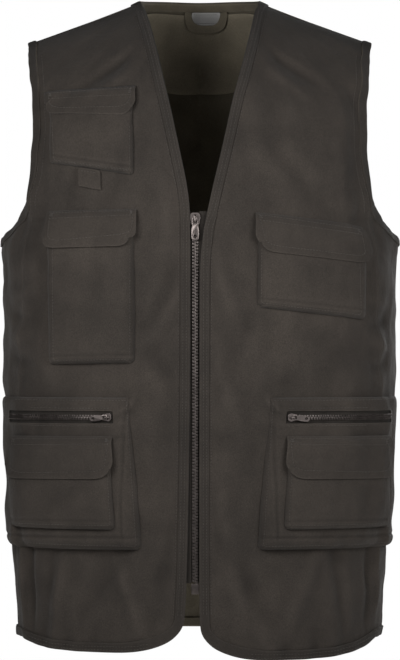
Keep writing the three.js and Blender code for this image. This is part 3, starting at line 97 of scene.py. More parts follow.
# %% Folds
FOLDS = np.array([
    # x and z in the front view, half length, half width (mm), lean (degrees), rise (mm)
    (-128, -80, 30, 9, 52, -4.5),
    (-112, -92, 26, 8, 52, 2.4),
    (133, -78, 30, 9, -52, -4.5),
    (116, -92, 26, 8, -52, 2.4),
    (-92, -205, 46, 12, 24, -2.4),
    (66, -150, 64, 17, -12, 2.6),
    (98, -190, 40, 12, -38, -3.0),
    (150, -150, 44, 12, 14, 2.4),
    (-45, -196, 60, 12, -14, 2.2),
    (-36, -318, 60, 11, 20, -3.2),
    (-50, -362, 52, 10, 34, 3.0),
    (-34, -410, 46, 10, -28, -2.6),
    (28, -322, 62, 11, -20, 3.0),
    (42, -376, 50, 10, 24, -3.2),
    (30, -428, 46, 9, -18, 2.6),
    (-188, -322, 26, 7, 84, 2.6),
    (-190, -345, 26, 7, 96, -2.6),
    (-189, -368, 26, 7, 82, 2.8),
    (-190, -392, 26, 7, 95, -2.2),
    (190, -330, 26, 7, 96, 2.6),
    (189, -354, 26, 7, 84, -2.6),
    (190, -378, 26, 7, 98, 2.8),
    (188, -400, 26, 7, 84, -2.2),
    (-112, -640, 58, 12, 36, -5.0),
    (-74, -652, 52, 11, -22, 4.4),
    (-150, -640, 50, 10, 14, 4.2),
    (-36, -606, 62, 11, 14, -3.4),
    (-58, -690, 30, 14, 4, -3.6),
    (-134, -688, 30, 13, -6, 3.4),
    (58, -640, 62, 12, -32, -5.0),
    (104, -652, 52, 12, 24, 4.6),
    (148, -636, 50, 10, -12, -4.2),
    (34, -596, 62, 10, -12, 3.2),
    (74, -694, 30, 14, -6, 3.6),
    (128, -690, 30, 13, 8, -3.4),
    (-193, -618, 52, 6, 8, 4.0),
    (-184, -634, 44, 6, 4, -3.4),
    (193, -618, 52, 6, -8, 4.0),
    (184, -634, 44, 6, -4, -3.4),
    (76, -441, 11, 3, -28, 2.2),
    (83, -452, 12, 3, -66, -2.2),
    (84, -461, 13, 3, -74, 1.8),
    (87, -476, 12, 3, -80, -1.6),
    (-74, -441, 11, 3, 28, 2.2),
    (-81, -452, 12, 3, 66, -2.2),
    (-82, -461, 13, 3, 74, 1.8),
    (-85, -476, 12, 3, 80, -1.6),
])
BACK_FOLDS = np.array([
    (-120, -150, 60, 14, 40, -3.6),
    (118, -160, 60, 14, -40, -3.6),
    (-20, -300, 90, 18, 12, 3.4),
    (60, -380, 90, 15, -22, -3.6),
    (-90, -420, 90, 15, 26, -3.8),
    (10, -520, 90, 16, -10, 3.6),
    (-140, -560, 80, 13, 10, 3.6),
    (130, -560, 80, 13, -14, 3.6),
    (-60, -640, 60, 13, -18, -4.0),
    (74, -650, 60, 13, 20, -4.0),
])


def place_round(points):
    """Angle round the body: atan2(x / HALF_WIDTH, -y / depth), where depth is the front's or the back's."""
    depth = np.where(points[:, 1] < 0, FRONT_DEPTH, BACK_DEPTH)
    return np.arctan2(points[:, 0] / HALF_WIDTH, -points[:, 1] / depth)


def fold_rise(points):
    """Sum over both tables of share * rise * exp(-(along / length)^2 - (beside / width)^2), in metres."""
    turn = place_round(points)
    rise = np.zeros(len(points))
    for rows, behind, share in ((FOLDS, False, FOLD_HEIGHT), (BACK_FOLDS, True, BACK_FOLD_HEIGHT)):
        for x, z, length, width, lean, height in rows:
            middle = math.asin(np.clip(x * MM / HALF_WIDTH, -1, 1))
            if behind:
                middle = math.pi - middle
            gap = np.angle(np.exp(1j * (turn - middle))) * HALF_WIDTH
            drop = points[:, 2] - z * MM
            c, s = math.cos(math.radians(lean)), math.sin(math.radians(lean))
            along = (drop * c + gap * s) / (length * MM)
            beside = (gap * c - drop * s) / (width * MM)
            rise += height * share * MM * np.exp(-(along**2) - beside**2)
    return rise


def rumple(points, seed=5, waves=44):
    """Small unevenness: a sum of plane waves 16 to 75 mm long, each RUMPLE times its length high."""
    draw = np.random.default_rng(seed)
    turn = place_round(points) * HALF_WIDTH
    total = np.zeros(len(points))
    for _ in range(waves):
        length = draw.uniform(0.016, 0.075)
        heading = draw.uniform(0, math.pi)
        phase = draw.uniform(0, 2 * math.pi)
        travel = turn * math.cos(heading) + points[:, 2] * math.sin(heading)
        total += RUMPLE * length * np.sin(2 * math.pi * travel / length + phase)
    return total


def stillness(points):
    """1 where cloth may move, falling to 0 beside the zips, whose metal stays where it is."""
    beside_zip = np.clip((np.abs(points[:, 0] - ZIP_LINE) - 0.009) / 0.022, 0, 1)
    front = np.where(points[:, 1] < 0, beside_zip**2 * (3 - 2 * beside_zip), 1.0)
    x, z = CARGO_SLIDER
    away = ((np.abs(points[:, 0]) - x) ** 2 + (points[:, 2] - z) ** 2) / 0.02**2
    near_slider = np.where(points[:, 1] < 0, np.exp(-away), 0.0)
    return front * (1 - near_slider)


def outwards(points):
    """Level unit vector away from the middle of the body: the ellipse's own normal."""
    depth = np.where(points[:, 1] < 0, FRONT_DEPTH, BACK_DEPTH)
    level = np.column_stack([points[:, 0] / HALF_WIDTH**2, points[:, 1] / depth**2])
    level /= np.linalg.norm(level, axis=1, keepdims=True) + 1e-9
    return np.column_stack([level, np.zeros(len(points))])


ARM_TRIM = np.array([
    # height, how far the armhole's edge is drawn in (mm)
    (-275, 0.0),
    (-262, 1.5),
    (-241, 9.5),
    (-219, 5.0),
    (-198, 6.5),
    (-176, 8.8),
    (-154, 8.4),
    (-133, 7.6),
    (-111, 6.0),
    (-89, 3.0),
    (-57, 0.5),
    (-30, 0.0),
])


def trim_armhole(points):
    """x drawn in by ARM_TRIM at this height, times a smooth step of |x| from 152 to 184 mm."""
    amount = np.interp(points[:, 2] / MM, ARM_TRIM[:, 0], ARM_TRIM[:, 1]) * MM
    share = np.clip((np.abs(points[:, 0]) - 0.152) / 0.032, 0, 1)
    moved = points.copy()
    moved[:, 0] -= np.sign(points[:, 0]) * amount * share**2 * (3 - 2 * share)
    return moved


def drape(points, more=0.0):
    """Points moved outwards by the folds, less and less over the shoulders, with the armholes drawn in."""
    points = trim_armhole(points)
    shoulder = np.clip(-points[:, 2] / 0.07, 0, 1)
    rise = (fold_rise(points) + rumple(points)) * stillness(points) * shoulder + more
    return points + outwards(points) * rise[:, None]


sample = np.array([[0.1, -0.12, -0.3]])
print("a fold moves", sample[0], "by", np.round((drape(sample) - sample)[0] / MM, 2), "mm")

# %% [markdown]
# ## Materials
# Woven cloth has three scales: the twill, a grain about a millimetre across, and slow changes of tone
# from handling. Its raised edges are rubbed paler, which the cloth's pointiness finds; the same pointiness
# darkens its hollows and creases, which is painted shade.


# %% Node helpers
def new_material(name):
    material = bpy.data.materials.new(name)
    material.use_nodes = True
    tree = material.node_tree
    return material, tree, tree.nodes["Principled BSDF"]


def add(tree, kind, **values):
    """A node with its settings: a plain name sets an attribute, and i_Name sets the input Name."""
    node = tree.nodes.new(kind)
    for key, value in values.items():
        if key.startswith("i_"):
            node.inputs[key[2:].replace("_", " ")].default_value = value
        else:
            setattr(node, key, value)
    return node


def tone(tree, source, low, high, dark, light):
    """A grey factor between dark and light, as source goes from low to high."""
    node = add(tree, "ShaderNodeMapRange", i_From_Min=low, i_From_Max=high, i_To_Min=dark, i_To_Max=light)
    tree.links.new(source, node.inputs["Value"])
    return node.outputs["Result"]


def times(tree, a, b):
    node = add(tree, "ShaderNodeMath", operation="MULTIPLY")
    tree.links.new(a, node.inputs[0])
    tree.links.new(b, node.inputs[1])
    return node.outputs[0]


# %% Cloth
CREASE_BUMP = 0.0011
GRAIN_BUMP = 0.00035
TWILL_BUMP = 0.00014


def cloth_material(name, colour, grain=1.0, twill=420.0, sheen=0.25):
    """Base colour is colour * grain * slow tone * edge wear and hollow shade, where pointiness makes raised
    edges paler from wear and hollows darker as painted shade. The bumps are small creases, grain and twill.
    """
    material, tree, surface = new_material(name)
    place = add(tree, "ShaderNodeTexCoord").outputs["Object"]
    fine = add(tree, "ShaderNodeTexNoise", i_Scale=850.0, i_Detail=3.0, i_Roughness=0.7)
    slow = add(tree, "ShaderNodeTexNoise", i_Scale=16.0, i_Detail=5.0, i_Roughness=0.6)
    crease = add(tree, "ShaderNodeTexNoise", i_Scale=95.0, i_Detail=4.0, i_Roughness=0.6)
    weave = add(tree, "ShaderNodeTexWave", i_Scale=twill, i_Distortion=0.6, i_Detail=1.0)
    weave.bands_direction = "DIAGONAL"
    for node in (fine, slow, crease, weave):
        tree.links.new(place, node.inputs["Vector"])
    # Pointiness: raised edges paler from wear, hollows and creases darker as painted shade.
    edge_wear_and_hollow_shade = add(tree, "ShaderNodeNewGeometry").outputs["Pointiness"]
    factor = times(
        tree,
        times(
            tree,
            tone(tree, fine.outputs["Fac"], 0.3, 0.7, 1 - 0.3 * grain, 1 + 0.3 * grain),
            tone(tree, slow.outputs["Fac"], 0.3, 0.7, 0.78, 1.22),
        ),
        tone(tree, edge_wear_and_hollow_shade, 0.47, 0.56, 0.8, 1.4),
    )
    mix = add(tree, "ShaderNodeVectorMath", operation="SCALE")
    mix.inputs[0].default_value = colour
    tree.links.new(factor, mix.inputs["Scale"])
    tree.links.new(mix.outputs["Vector"], surface.inputs["Base Color"])
    tree.links.new(tone(tree, slow.outputs["Fac"], 0.3, 0.7, 0.8, 0.95), surface.inputs["Roughness"])
    bump_from = None
    for pattern, height in ((crease, CREASE_BUMP), (fine, GRAIN_BUMP), (weave, TWILL_BUMP)):
        bump = add(tree, "ShaderNodeBump", i_Strength=1.0, i_Distance=height)
        tree.links.new(pattern.outputs["Fac"], bump.inputs["Height"])
        if bump_from is not None:
            tree.links.new(bump_from, bump.inputs["Normal"])
        bump_from = bump.outputs["Normal"]
    tree.links.new(bump_from, surface.inputs["Normal"])
    surface.inputs["Sheen Weight"].default_value = sheen
    surface.inputs["Sheen Roughness"].default_value = 0.5
    surface.inputs["Specular IOR Level"].default_value = 0.25
    return material


def metal_material(name, colour, rough):
    """Dark plated metal: brushed by fine noise, rubbed bright along its edges from wear, and darker in its
    hollows as painted shade.
    """
    material, tree, surface = new_material(name)
    place = add(tree, "ShaderNodeTexCoord").outputs["Object"]
    brush = add(tree, "ShaderNodeTexNoise", i_Scale=1400.0, i_Detail=3.0)
    smear = add(tree, "ShaderNodeTexNoise", i_Scale=120.0, i_Detail=3.0)
    for node in (brush, smear):
        tree.links.new(place, node.inputs["Vector"])
    # Pointiness: edges brighter from wear, hollows darker as painted shade.
    edge_wear_and_hollow_shade = add(tree, "ShaderNodeNewGeometry").outputs["Pointiness"]
    factor = times(
        tree,
        tone(tree, edge_wear_and_hollow_shade, 0.48, 0.6, 0.85, 1.9),
        tone(tree, smear.outputs["Fac"], 0.3, 0.7, 0.75, 1.2),
    )
    mix = add(tree, "ShaderNodeVectorMath", operation="SCALE")
    mix.inputs[0].default_value = colour
    tree.links.new(factor, mix.inputs["Scale"])
    tree.links.new(mix.outputs["Vector"], surface.inputs["Base Color"])
    polish = tone(tree, brush.outputs["Fac"], 0.3, 0.7, rough - 0.08, rough + 0.12)
    tree.links.new(polish, surface.inputs["Roughness"])
    surface.inputs["Metallic"].default_value = 1.0
    bump = add(tree, "ShaderNodeBump", i_Strength=0.5, i_Distance=0.00008)
    tree.links.new(brush.outputs["Fac"], bump.inputs["Height"])
    tree.links.new(bump.outputs["Normal"], surface.inputs["Normal"])
    return material


TWILL = cloth_material("twill", (0.058, 0.0485, 0.041), sheen=0.1)
LINING = cloth_material("lining", (0.150, 0.130, 0.095), grain=0.6, sheen=0.05)
# The facing takes the lining's colour made 1.43 times lighter, which is painted light on the inside near the
# neck.
FACING_PAINTED_LIGHT = cloth_material("facing", (0.215, 0.187, 0.138), grain=0.6, sheen=0.05)
BINDING = cloth_material("binding_tape", (0.050, 0.0423, 0.036), grain=0.8, twill=900.0, sheen=0.1)
ZIP_TAPE = cloth_material("zip_tape_weave", (0.034, 0.029, 0.025), grain=0.5, twill=700.0, sheen=0.05)
LABEL = cloth_material("label_satin", (0.36, 0.355, 0.35), grain=0.2, twill=1200.0, sheen=0.3)
THREAD = cloth_material("thread", (0.074, 0.063, 0.054), grain=0.2, twill=2200.0, sheen=0.2)
GUNMETAL = metal_material("gunmetal", (0.13, 0.112, 0.106), 0.36)
TEETH = metal_material("zip_teeth", (0.115, 0.10, 0.094), 0.34)

# %% [markdown]
# ## From coarse walls to cloth
# The frame's walls are grids cut into triangles. Joining the triangles back into four-sided cells lets
# subdivision round them evenly. Rims, where two faces meet at a steep angle, are creased to stay crisp.


# %% Smoothing
def smooth_copy(node, levels, steep=60, crease=0.9):
    """(points, faces) of a node's mesh, rounded by Catmull-Clark subdivision."""
    mesh = bpy.data.meshes.new("work")
    bm = bmesh.new()
    bm.from_mesh(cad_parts[node].data)
    bmesh.ops.remove_doubles(bm, verts=bm.verts, dist=2e-6)
    limit = math.radians(38)
    bmesh.ops.join_triangles(bm, faces=bm.faces, angle_face_threshold=limit, angle_shape_threshold=math.pi)
    layer = bm.edges.layers.float.new("crease_edge")
    for edge in bm.edges:
        if len(edge.link_faces) == 2 and edge.calc_face_angle() > math.radians(steep):
            edge[layer] = crease
    bm.to_mesh(mesh)
    bm.free()
    holder = bpy.data.objects.new("work", mesh)
    bpy.context.scene.collection.objects.link(holder)
    holder.modifiers.new("rounding", "SUBSURF").levels = levels
    bpy.context.view_layer.update()
    seen = holder.evaluated_get(bpy.context.evaluated_depsgraph_get()).to_mesh()
    points = np.empty(len(seen.vertices) * 3)
    seen.vertices.foreach_get("co", points)
    faces = [tuple(face.vertices) for face in seen.polygons]
    bpy.data.objects.remove(holder)
    bpy.data.meshes.remove(mesh)
    return points.reshape(-1, 3), faces


def face_normals(points, faces):
    """Unit normals from the diagonals of each face."""
    corners = np.array([(f[0], f[1], f[2], f[3 % len(f)] if len(f) > 3 else f[0]) for f in faces])
    a, b, c, d = (points[corners[:, i]] for i in range(4))
    normal = np.cross(c - a, np.where((corners[:, 3] == corners[:, 0])[:, None], b - a, d - b))
    flip = np.where(corners[:, 3] == corners[:, 0], -1.0, 1.0)
    normal *= flip[:, None]
    return normal / (np.linalg.norm(normal, axis=1, keepdims=True) + 1e-12)


def build(name, points, faces, materials, body="vest", nodes=(), inner=None):
    """A shaded piece. inner marks the faces that take the second material."""
    mesh = bpy.data.meshes.new(name)
    mesh.from_pydata(points.tolist(), [], faces)
    for material in materials:
        mesh.materials.append(material)
    mesh.polygons.foreach_set("use_smooth", np.ones(len(faces), bool))
    if inner is not None:
        mesh.polygons.foreach_set("material_index", inner.astype(np.int32))
    mesh.update()
    piece = bpy.data.objects.new(name, mesh)
    bpy.context.scene.collection.objects.link(piece)
    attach(piece, body)
    if nodes:
        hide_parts(*nodes)
    return piece


surfaces = {}


def from_foot(points):
    """(a, b, sideways, upwards) for each lower corner: a is how far a place is from the side edge and b how
    far above the foot, measured round the body, and the last two say which way each grows."""
    s, z = place_round(points) * HALF_WIDTH, points[:, 2]
    ends = [np.argmax(-s - z), np.argmax(s - z)]
    left, right = (np.array([s[i], z[i]]) for i in ends)
    level = (right - left) / np.linalg.norm(right - left)
    up = np.array([-level[1], level[0]])
    spots = np.column_stack([s, z])
    return [
        ((spots - corner) @ level * sign, (spots - corner) @ up, level * sign, up)
        for corner, sign in ((left, 1), (right, -1))
    ]


def slide(points, steps):
    """Points moved by steps of (round the body, up): the level tangent of the body's ellipse, and +Z."""
    out = outwards(points)
    round_body = np.column_stack([-out[:, 1], out[:, 0], out[:, 2]])
    return points + round_body * steps[:, :1] + np.array([0, 0, 1.0]) * steps[:, 1:]


def round_foot(points, radius):
    """Lower corners turned from square to round. About the centre of its circle, which lies a radius in and
    up from the corner, a place p goes to p * max(|across|, |up|) / |p|."""
    for a, b, level, up in from_foot(points):
        da, db = np.clip(1 - a / radius, 0, None), np.clip(1 - b / radius, 0, None)
        keep = np.maximum(da, db) / (np.hypot(da, db) + 1e-9)
        move = np.where((da > 0) & (db > 0), radius * (1 - keep), 0.0)
        points = slide(points, (move * da)[:, None] * level + (move * db)[:, None] * up)
    return points


def cloth_piece(
    node,
    levels=3,
    shift=0.0,
    swell=0.0,
    steep=60,
    crease=0.9,
    material=TWILL,
    inside=LINING,
    slot="cloth",
    radius=0.0,
    relief=None,
):
    """A node's cloth: smoothed, rounded at the foot by radius, raised by relief, swollen along its own
    normals, shifted out and draped. Faces that look towards the body take the inside material."""
    points, faces = smooth_copy(node, levels, steep, crease)
    if radius:
        points = round_foot(points, radius)
    if relief is not None:
        points = points + outwards(points) * relief(points)[:, None]
    if swell:
        normals = face_normals(points, faces)
        gathered = np.zeros_like(points)
        for corner in range(3):
            np.add.at(gathered, [f[corner] for f in faces], normals)
        points = points + swell * gathered / (np.linalg.norm(gathered, axis=1, keepdims=True) + 1e-12)
    points = drape(points, shift)
    middles = points[[f[0] for f in faces]]
    inner = (face_normals(points, faces) * outwards(middles)).sum(axis=1) < -0.2
    surfaces[node] = (points, faces)
    return build(f"{node}_cloth", points, faces, [material, inside], nodes=(node,), inner=inner)


# %% Panels
panels = {node: cloth_piece(node, 3) for node in ("front_right", "front_left", "back")}
facing_look = {"shift": -0.0016, "material": FACING_PAINTED_LIGHT, "inside": FACING_PAINTED_LIGHT}
panels["back_neck_facing"] = cloth_piece("back_neck_facing", 2, **facing_look)
for node, piece in panels.items():
    print(node, len(piece.data.polygons), "faces")

# %% [markdown]
# ## Bound edges
# A binding is a tape folded over the raw edge. It's swollen by a hair so that it always covers the cloth.

# %% Bindings
bindings = ["front_binding_right", "front_binding_left", "armhole_binding_right", "armhole_binding_left"]
for node in bindings + ["neck_binding", "hem_binding"]:
    cloth_piece(node, 3, swell=0.0004, crease=0.45, material=BINDING, slot="binding")

# %% [markdown]
# ## Pockets, flaps and the small straps
# They lie on the panels, so they are set a little closer to them than the solids are.

# %% Pockets
ONTO = -0.0007
POCKET = {"shift": ONTO, "steep": 75, "crease": 0.55, "radius": 0.006}
chest = ["upper_pocket", "right_pocket", "left_pocket"]
cargo = [f"{side}_cargo_pocket" for side in ("right", "left")]
patches = [f"{side}_patch_pocket" for side in ("right", "left")]
flaps = [f"{name}_flap" for name in chest] + [f"{side}_patch_flap" for side in ("right", "left")]


def seam(distance, at, width=0.0019, depth=0.0013):
    """A groove: -depth * exp(-((distance - at) / width)^2)."""
    return -depth * np.exp(-(((distance - at) / width) ** 2))


def bellows(inner):
    """The relief of a bellows pocket: a seam beside its inner edge and one above its foot, where inner says
    which of the two lower corners is nearer to the zip."""

    def relief(points):
        a, b, _, _ = from_foot(points)[inner]
        return seam(a, 0.0105) * np.clip((b - 0.006) / 0.01, 0, 1) + seam(b, 0.0125)

    return relief


def patch_relief(points):
    """Puffed cloth: 1.6 mm more in the middle, with a seam above the foot."""
    (a, b, _, _), (c, _, _, _) = from_foot(points)
    puff = np.clip(a / 0.03, 0, 1) * np.clip(c / 0.03, 0, 1) * np.clip(b / 0.03, 0, 1)
    return 0.0016 * np.sin(puff * math.pi / 2) + seam(b, 0.0075, depth=0.0008)


for node in chest + patches:
    cloth_piece(node, 3, relief=patch_relief, **POCKET)
for node, inner in zip(cargo, (1, 0)):
    cloth_piece(node, 3, relief=bellows(inner), **POCKET)
for node in flaps:
    cloth_piece(node, 3, shift=ONTO, crease=0.45, radius=0.013)
cloth_piece("pen_loop", 3, crease=0.4)
cloth_piece("hanger_loop", 3, crease=0.3)
cloth_piece("neck_label", 2, shift=-0.0032, material=LABEL, inside=LABEL, slot="label")
tapes = ["zip_tape_right", "zip_tape_left"] + [f"{side}_cargo_zip_tape" for side in ("right", "left")]
for node in tapes:
    cloth_piece(node, 3, material=ZIP_TAPE, slot="zip_tape")

# %% [markdown]
# ## Zips
# Teeth sit in two rows that take turns. Each tooth is a short bar with chamfered shoulders, set along
# the middle line of the frame's chain: its points, taken four at a time along its length, give that line.
# Teeth, stitches and felled seams are all closed tubes, so one function writes the faces for all of them.


# %% Chain lines
def chain_line(node, axis):
    """The middle points of the chain's cross-sections, in order along an axis."""
    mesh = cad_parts[node].data
    points = np.empty(len(mesh.vertices) * 3)
    mesh.vertices.foreach_get("co", points)
    points = np.unique(np.round(points.reshape(-1, 3), 6), axis=0)
    points = points[np.argsort(points[:, axis])]
    return points[: len(points) // 4 * 4].reshape(-1, 4, 3).mean(axis=1)


def along(line, pitch):
    """Even steps along a line: (places, directions)."""
    length = np.concatenate([[0], np.cumsum(np.linalg.norm(np.diff(line, axis=0), axis=1))])
    at = np.arange(pitch / 2, length[-1], pitch)
    places = np.column_stack([np.interp(at, length, line[:, i]) for i in range(3)])
    ahead = np.column_stack([np.interp(at + 0.004, length, line[:, i]) for i in range(3)])
    behind = np.column_stack([np.interp(at - 0.004, length, line[:, i]) for i in range(3)])
    direction = ahead - behind
    return places, direction / np.linalg.norm(direction, axis=1, keepdims=True)


def tubes(copies, rings, sides):
    """Faces of closed tubes, all alike: quads between the rings, and a cap at each end."""
    at = np.arange(rings * sides).reshape(rings, sides)
    after = np.roll(at, -1, axis=1)
    quads = np.stack([at[:-1], after[:-1], after[1:], at[1:]], axis=-1).reshape(-1, 4)
    caps = np.stack([at[0, ::-1], at[-1]])
    first = np.arange(copies)[:, None, None] * rings * sides
    return (first + quads).reshape(-1, 4).tolist() + (first + caps).reshape(-1, sides).tolist()


# a tooth's outline as (across, out) in shares of its half width and its thickness
TOOTH = [(1, -0.5), (1, 0.35), (0.72, 0.62), (-0.72, 0.62), (-1, 0.35), (-1, -0.5)]
STRIP = (1, 0.4, -0.4, -1)
STRIP_THICK = 0.0006


def zip_teeth(node, axis, pitch, half, thick, across_hint):
    """Two rows of teeth and the strip of tape under them, in place of the frame's smooth chain."""
    places, direction = along(chain_line(node, axis), pitch / 2)
    across = np.cross(direction, np.cross(np.array(across_hint), direction))
    across /= np.linalg.norm(across, axis=1, keepdims=True)
    across *= np.sign((np.cross(direction, across) * outwards(places)).sum(axis=1))[:, None]
    out = np.cross(direction, across)
    places = drape(places)
    side = np.where(np.arange(len(places)) % 2, 1.0, -1.0)[:, None]
    points = []
    for end in (-0.36, 0.36):
        for u, v in TOOTH:
            middle = places + across * side * half * 0.36
            points.append(middle + across * u * half * 0.62 + out * v * thick + direction * end * pitch)
    points = np.stack(points, axis=1).reshape(-1, 3)
    faces = tubes(len(places), 2, len(TOOTH))
    piece = build(f"{node}_teeth", points, faces, [TEETH], nodes=(node,))
    bevel = piece.modifiers.new("worn_edges", "BEVEL")
    bevel.width = 0.00022
    bevel.segments = 2
    middle = places - out * thick * 0.45
    ring = [(u, 0) for u in STRIP] + [(u, -STRIP_THICK) for u in STRIP[::-1]]
    strip = np.stack([middle + across * u * half * 1.35 + out * v for u, v in ring], axis=1)
    tape = tubes(1, len(places), len(ring))
    build(f"{node}_strip", strip.reshape(-1, 3), tape, [ZIP_TAPE])
    return len(places)


print("front zip:", zip_teeth("zip_chain", 2, 0.0035, 0.0036, 0.0016, (1, 0, 0)), "teeth")
for side in ("right", "left"):
    zip_teeth(f"{side}_cargo_zip_chain", 0, 0.0031, 0.0028, 0.0013, (0, 0, 1))


# %% Sliders, pull tabs and the box at the foot
def metal_piece(node, body="vest"):
    """A bevelled copy of a metal node, so that its edges catch the light."""
    mesh = bpy.data.meshes.new(f"{node}_metal")
    bm = bmesh.new()
    bm.from_mesh(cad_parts[node].data)
    bmesh.ops.remove_doubles(bm, verts=bm.verts, dist=2e-6)
    bmesh.ops.dissolve_limit(bm, angle_limit=math.radians(3), verts=bm.verts, edges=bm.edges)
    bm.to_mesh(mesh)
    bm.free()
    mesh.materials.append(GUNMETAL)
    piece = bpy.data.objects.new(f"{node}_metal", mesh)
    bpy.context.scene.collection.objects.link(piece)
    bevel = piece.modifiers.new("worn_edges", "BEVEL")
    bevel.width = 0.00028
    bevel.segments = 2
    bevel.limit_method = "ANGLE"
    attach(piece, body)
    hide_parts(node)


metal_piece("zip_slider")
metal_piece("zip_box")
metal_piece("zip_puller", "zip_puller")
for side in ("right", "left"):
    metal_piece(f"{side}_cargo_slider")
    metal_piece(f"{side}_cargo_puller", f"{side}_cargo_puller")

# %% [markdown]
# ## Sewing
# A stitch line is drawn in the front view and dropped onto the finished cloth by ray casting: each
# stitch is a small spindle laid between two places that the rays find.

# %% Rays
trees = {}
for node, (points, faces) in surfaces.items():
    trees[node] = BVHTree.FromPolygons([Vector(p) for p in points], faces)


def drop(x, z, nodes):
    """The nearest cloth of these nodes seen from the front: (place, normal, distance), or None."""
    best = None
    for node in nodes:
        place, normal, _, distance = trees[node].ray_cast(Vector((x, -1, z)), Vector((0, 1, 0)))
        if place is not None and (best is None or distance < best[2]):
            best = (place, normal, distance)
    return best


def resample(path, pitch):
    """Places at even steps along a path of (x, z)."""
    path = np.array(path, float)
    length = np.concatenate([[0], np.cumsum(np.linalg.norm(np.diff(path, axis=0), axis=1))])
    at = np.arange(0, length[-1], pitch)
    return np.column_stack([np.interp(at, length, path[:, i]) for i in range(2)])


# rings along a stitch as (share of its length, share of its radius)
RINGS = [(-0.5, 0.35), (-0.3, 1.0), (0.3, 1.0), (0.5, 0.35)]
SIDES = 5
COVER = 0.72
SUNK = 0.4


def stitch_lines(name, lines, pitch=0.0033, radius=0.00034):
    """A spindle for each step of each line (a path of (x, z) and the nodes under it). Its points are
    middle + run * share * COVER + (beside * cos(turn) + normal * sin(turn)) * radius * thick."""
    ends = []
    for path, nodes in lines:
        found = [drop(x, z, nodes) for x, z in resample(path, pitch)]
        ends += [(*a[:2], *b[:2]) for a, b in zip(found[:-1], found[1:]) if a and b]
    start, first_normal, stop, second_normal = (np.array([row[i] for row in ends]) for i in range(4))
    run, normal = stop - start, first_normal + second_normal
    length = np.linalg.norm(run, axis=1)
    keep = (length < 2.2 * pitch) & (length > 0.2 * pitch)
    start, run, normal = start[keep], run[keep], normal[keep]
    normal *= np.where(normal[:, 1:2] > 0, -1.0, 1.0)
    normal /= np.linalg.norm(normal, axis=1, keepdims=True)
    beside = np.cross(normal, run)
    beside /= np.linalg.norm(beside, axis=1, keepdims=True)
    middle = start + run / 2 + normal * radius * (1 - SUNK)
    turn = 2 * math.pi * np.arange(SIDES)[None, :, None] / SIDES
    across = beside[:, None] * np.cos(turn) + normal[:, None] * np.sin(turn)
    points = [
        middle[:, None] + run[:, None] * share * COVER + across * radius * thick for share, thick in RINGS
    ]
    faces = tubes(len(start), len(RINGS), SIDES)
    build(name, np.stack(points, axis=1).reshape(-1, 3), faces, [THREAD])
    print(name, len(start), "stitches")


# %% Shoulder seams
def from_above(x, y, node):
    """Where a ray straight down meets a node's cloth, or None."""
    return trees[node].ray_cast(Vector((x, y, 0.1)), Vector((0, 0, -1)))[0]


def shoulder_seam(name, side, front):
    """A felled seam over the line where front and back meet: a flat tube along x. Its rings follow the
    height of the cloth 4 mm before and 4 mm behind that line."""
    rows = []
    for x in np.linspace(0.068, 0.181, 40) * side:
        pair = from_above(x, -0.004, front), from_above(x, 0.004, "back")
        if pair[0] is not None and pair[1] is not None:
            rows.append([tuple(place) for place in pair])
    edge = np.array(rows)
    middle = edge.mean(axis=1) + (0, 0, 0.0007)
    before, after = edge[:, 0] + (0, 0, 0.0002), edge[:, 1] + (0, 0, 0.0002)
    under = (0, 0, 0.0014)
    ring = [before, middle, after, after - under, middle - under, before - under]
    if side > 0:
        ring = ring[::-1]
    points = np.stack(ring, axis=1).reshape(-1, 3)
    build(name, points, tubes(1, len(edge), len(ring)), [TWILL])
    return len(edge)


for side, key in ((-1, "right"), (1, "left")):
    print("shoulder seam", key, shoulder_seam(f"shoulder_seam_{key}", side, f"front_{key}"), "rings")


# %% Outlines in the front view
def corners(node):
    """The four corners of a nearly rectangular piece in the front view, clockwise from the top left."""
    points = surfaces[node][0]
    x, z = points[:, 0], points[:, 2]
    picks = [np.argmax(z - x), np.argmax(z + x), np.argmax(x - z), np.argmax(-x - z)]
    return np.array([(x[i], z[i]) for i in picks])


def within(node, places):
    """A path of (x, z) from places given as (across, down) in millimetres from the piece's top left corner,
    or from its far side where negative."""
    box = corners(node)
    width = np.linalg.norm(box[1] - box[0])
    height = np.linalg.norm(box[3] - box[0])
    path = []
    for across, down in places:
        u = (across * MM if across >= 0 else width + across * MM) / width
        v = (down * MM if down >= 0 else height + down * MM) / height
        top = box[0] * (1 - u) + box[1] * u
        foot = box[3] * (1 - u) + box[2] * u
        path.append(tuple(top * (1 - v) + foot * v))
    return path


def edge_x(side, z):
    """Where a front's bound edge lies: the neck edge above, the zip's edge below."""
    column = 1 if side < 0 else 2
    gap = ZIP_HALF_GAP * np.interp(-z / LENGTH, ZIP_EDGE[:, 0], ZIP_EDGE[:, column])
    open_by = NECK_HALF * np.interp(-z / NECK_DEPTH, NECK_EDGE[:, 0], NECK_EDGE[:, column])
    zip_at, neck = ZIP_LINE + side * (gap + LIP), side * (open_by + LIP)
    share = np.clip((-z / NECK_DEPTH - NECK_ENDS) / (1 - NECK_ENDS), 0, 1)
    share = share**2 * (3 - 2 * share)
    return neck * (1 - share) + zip_at * share


def foot_z(x, nodes):
    """The lowest height at which a ray from the front meets these nodes."""
    for z in np.arange(-0.722, -0.6, 0.0008):
        if drop(x, z, nodes) is not None:
            return z
    return None


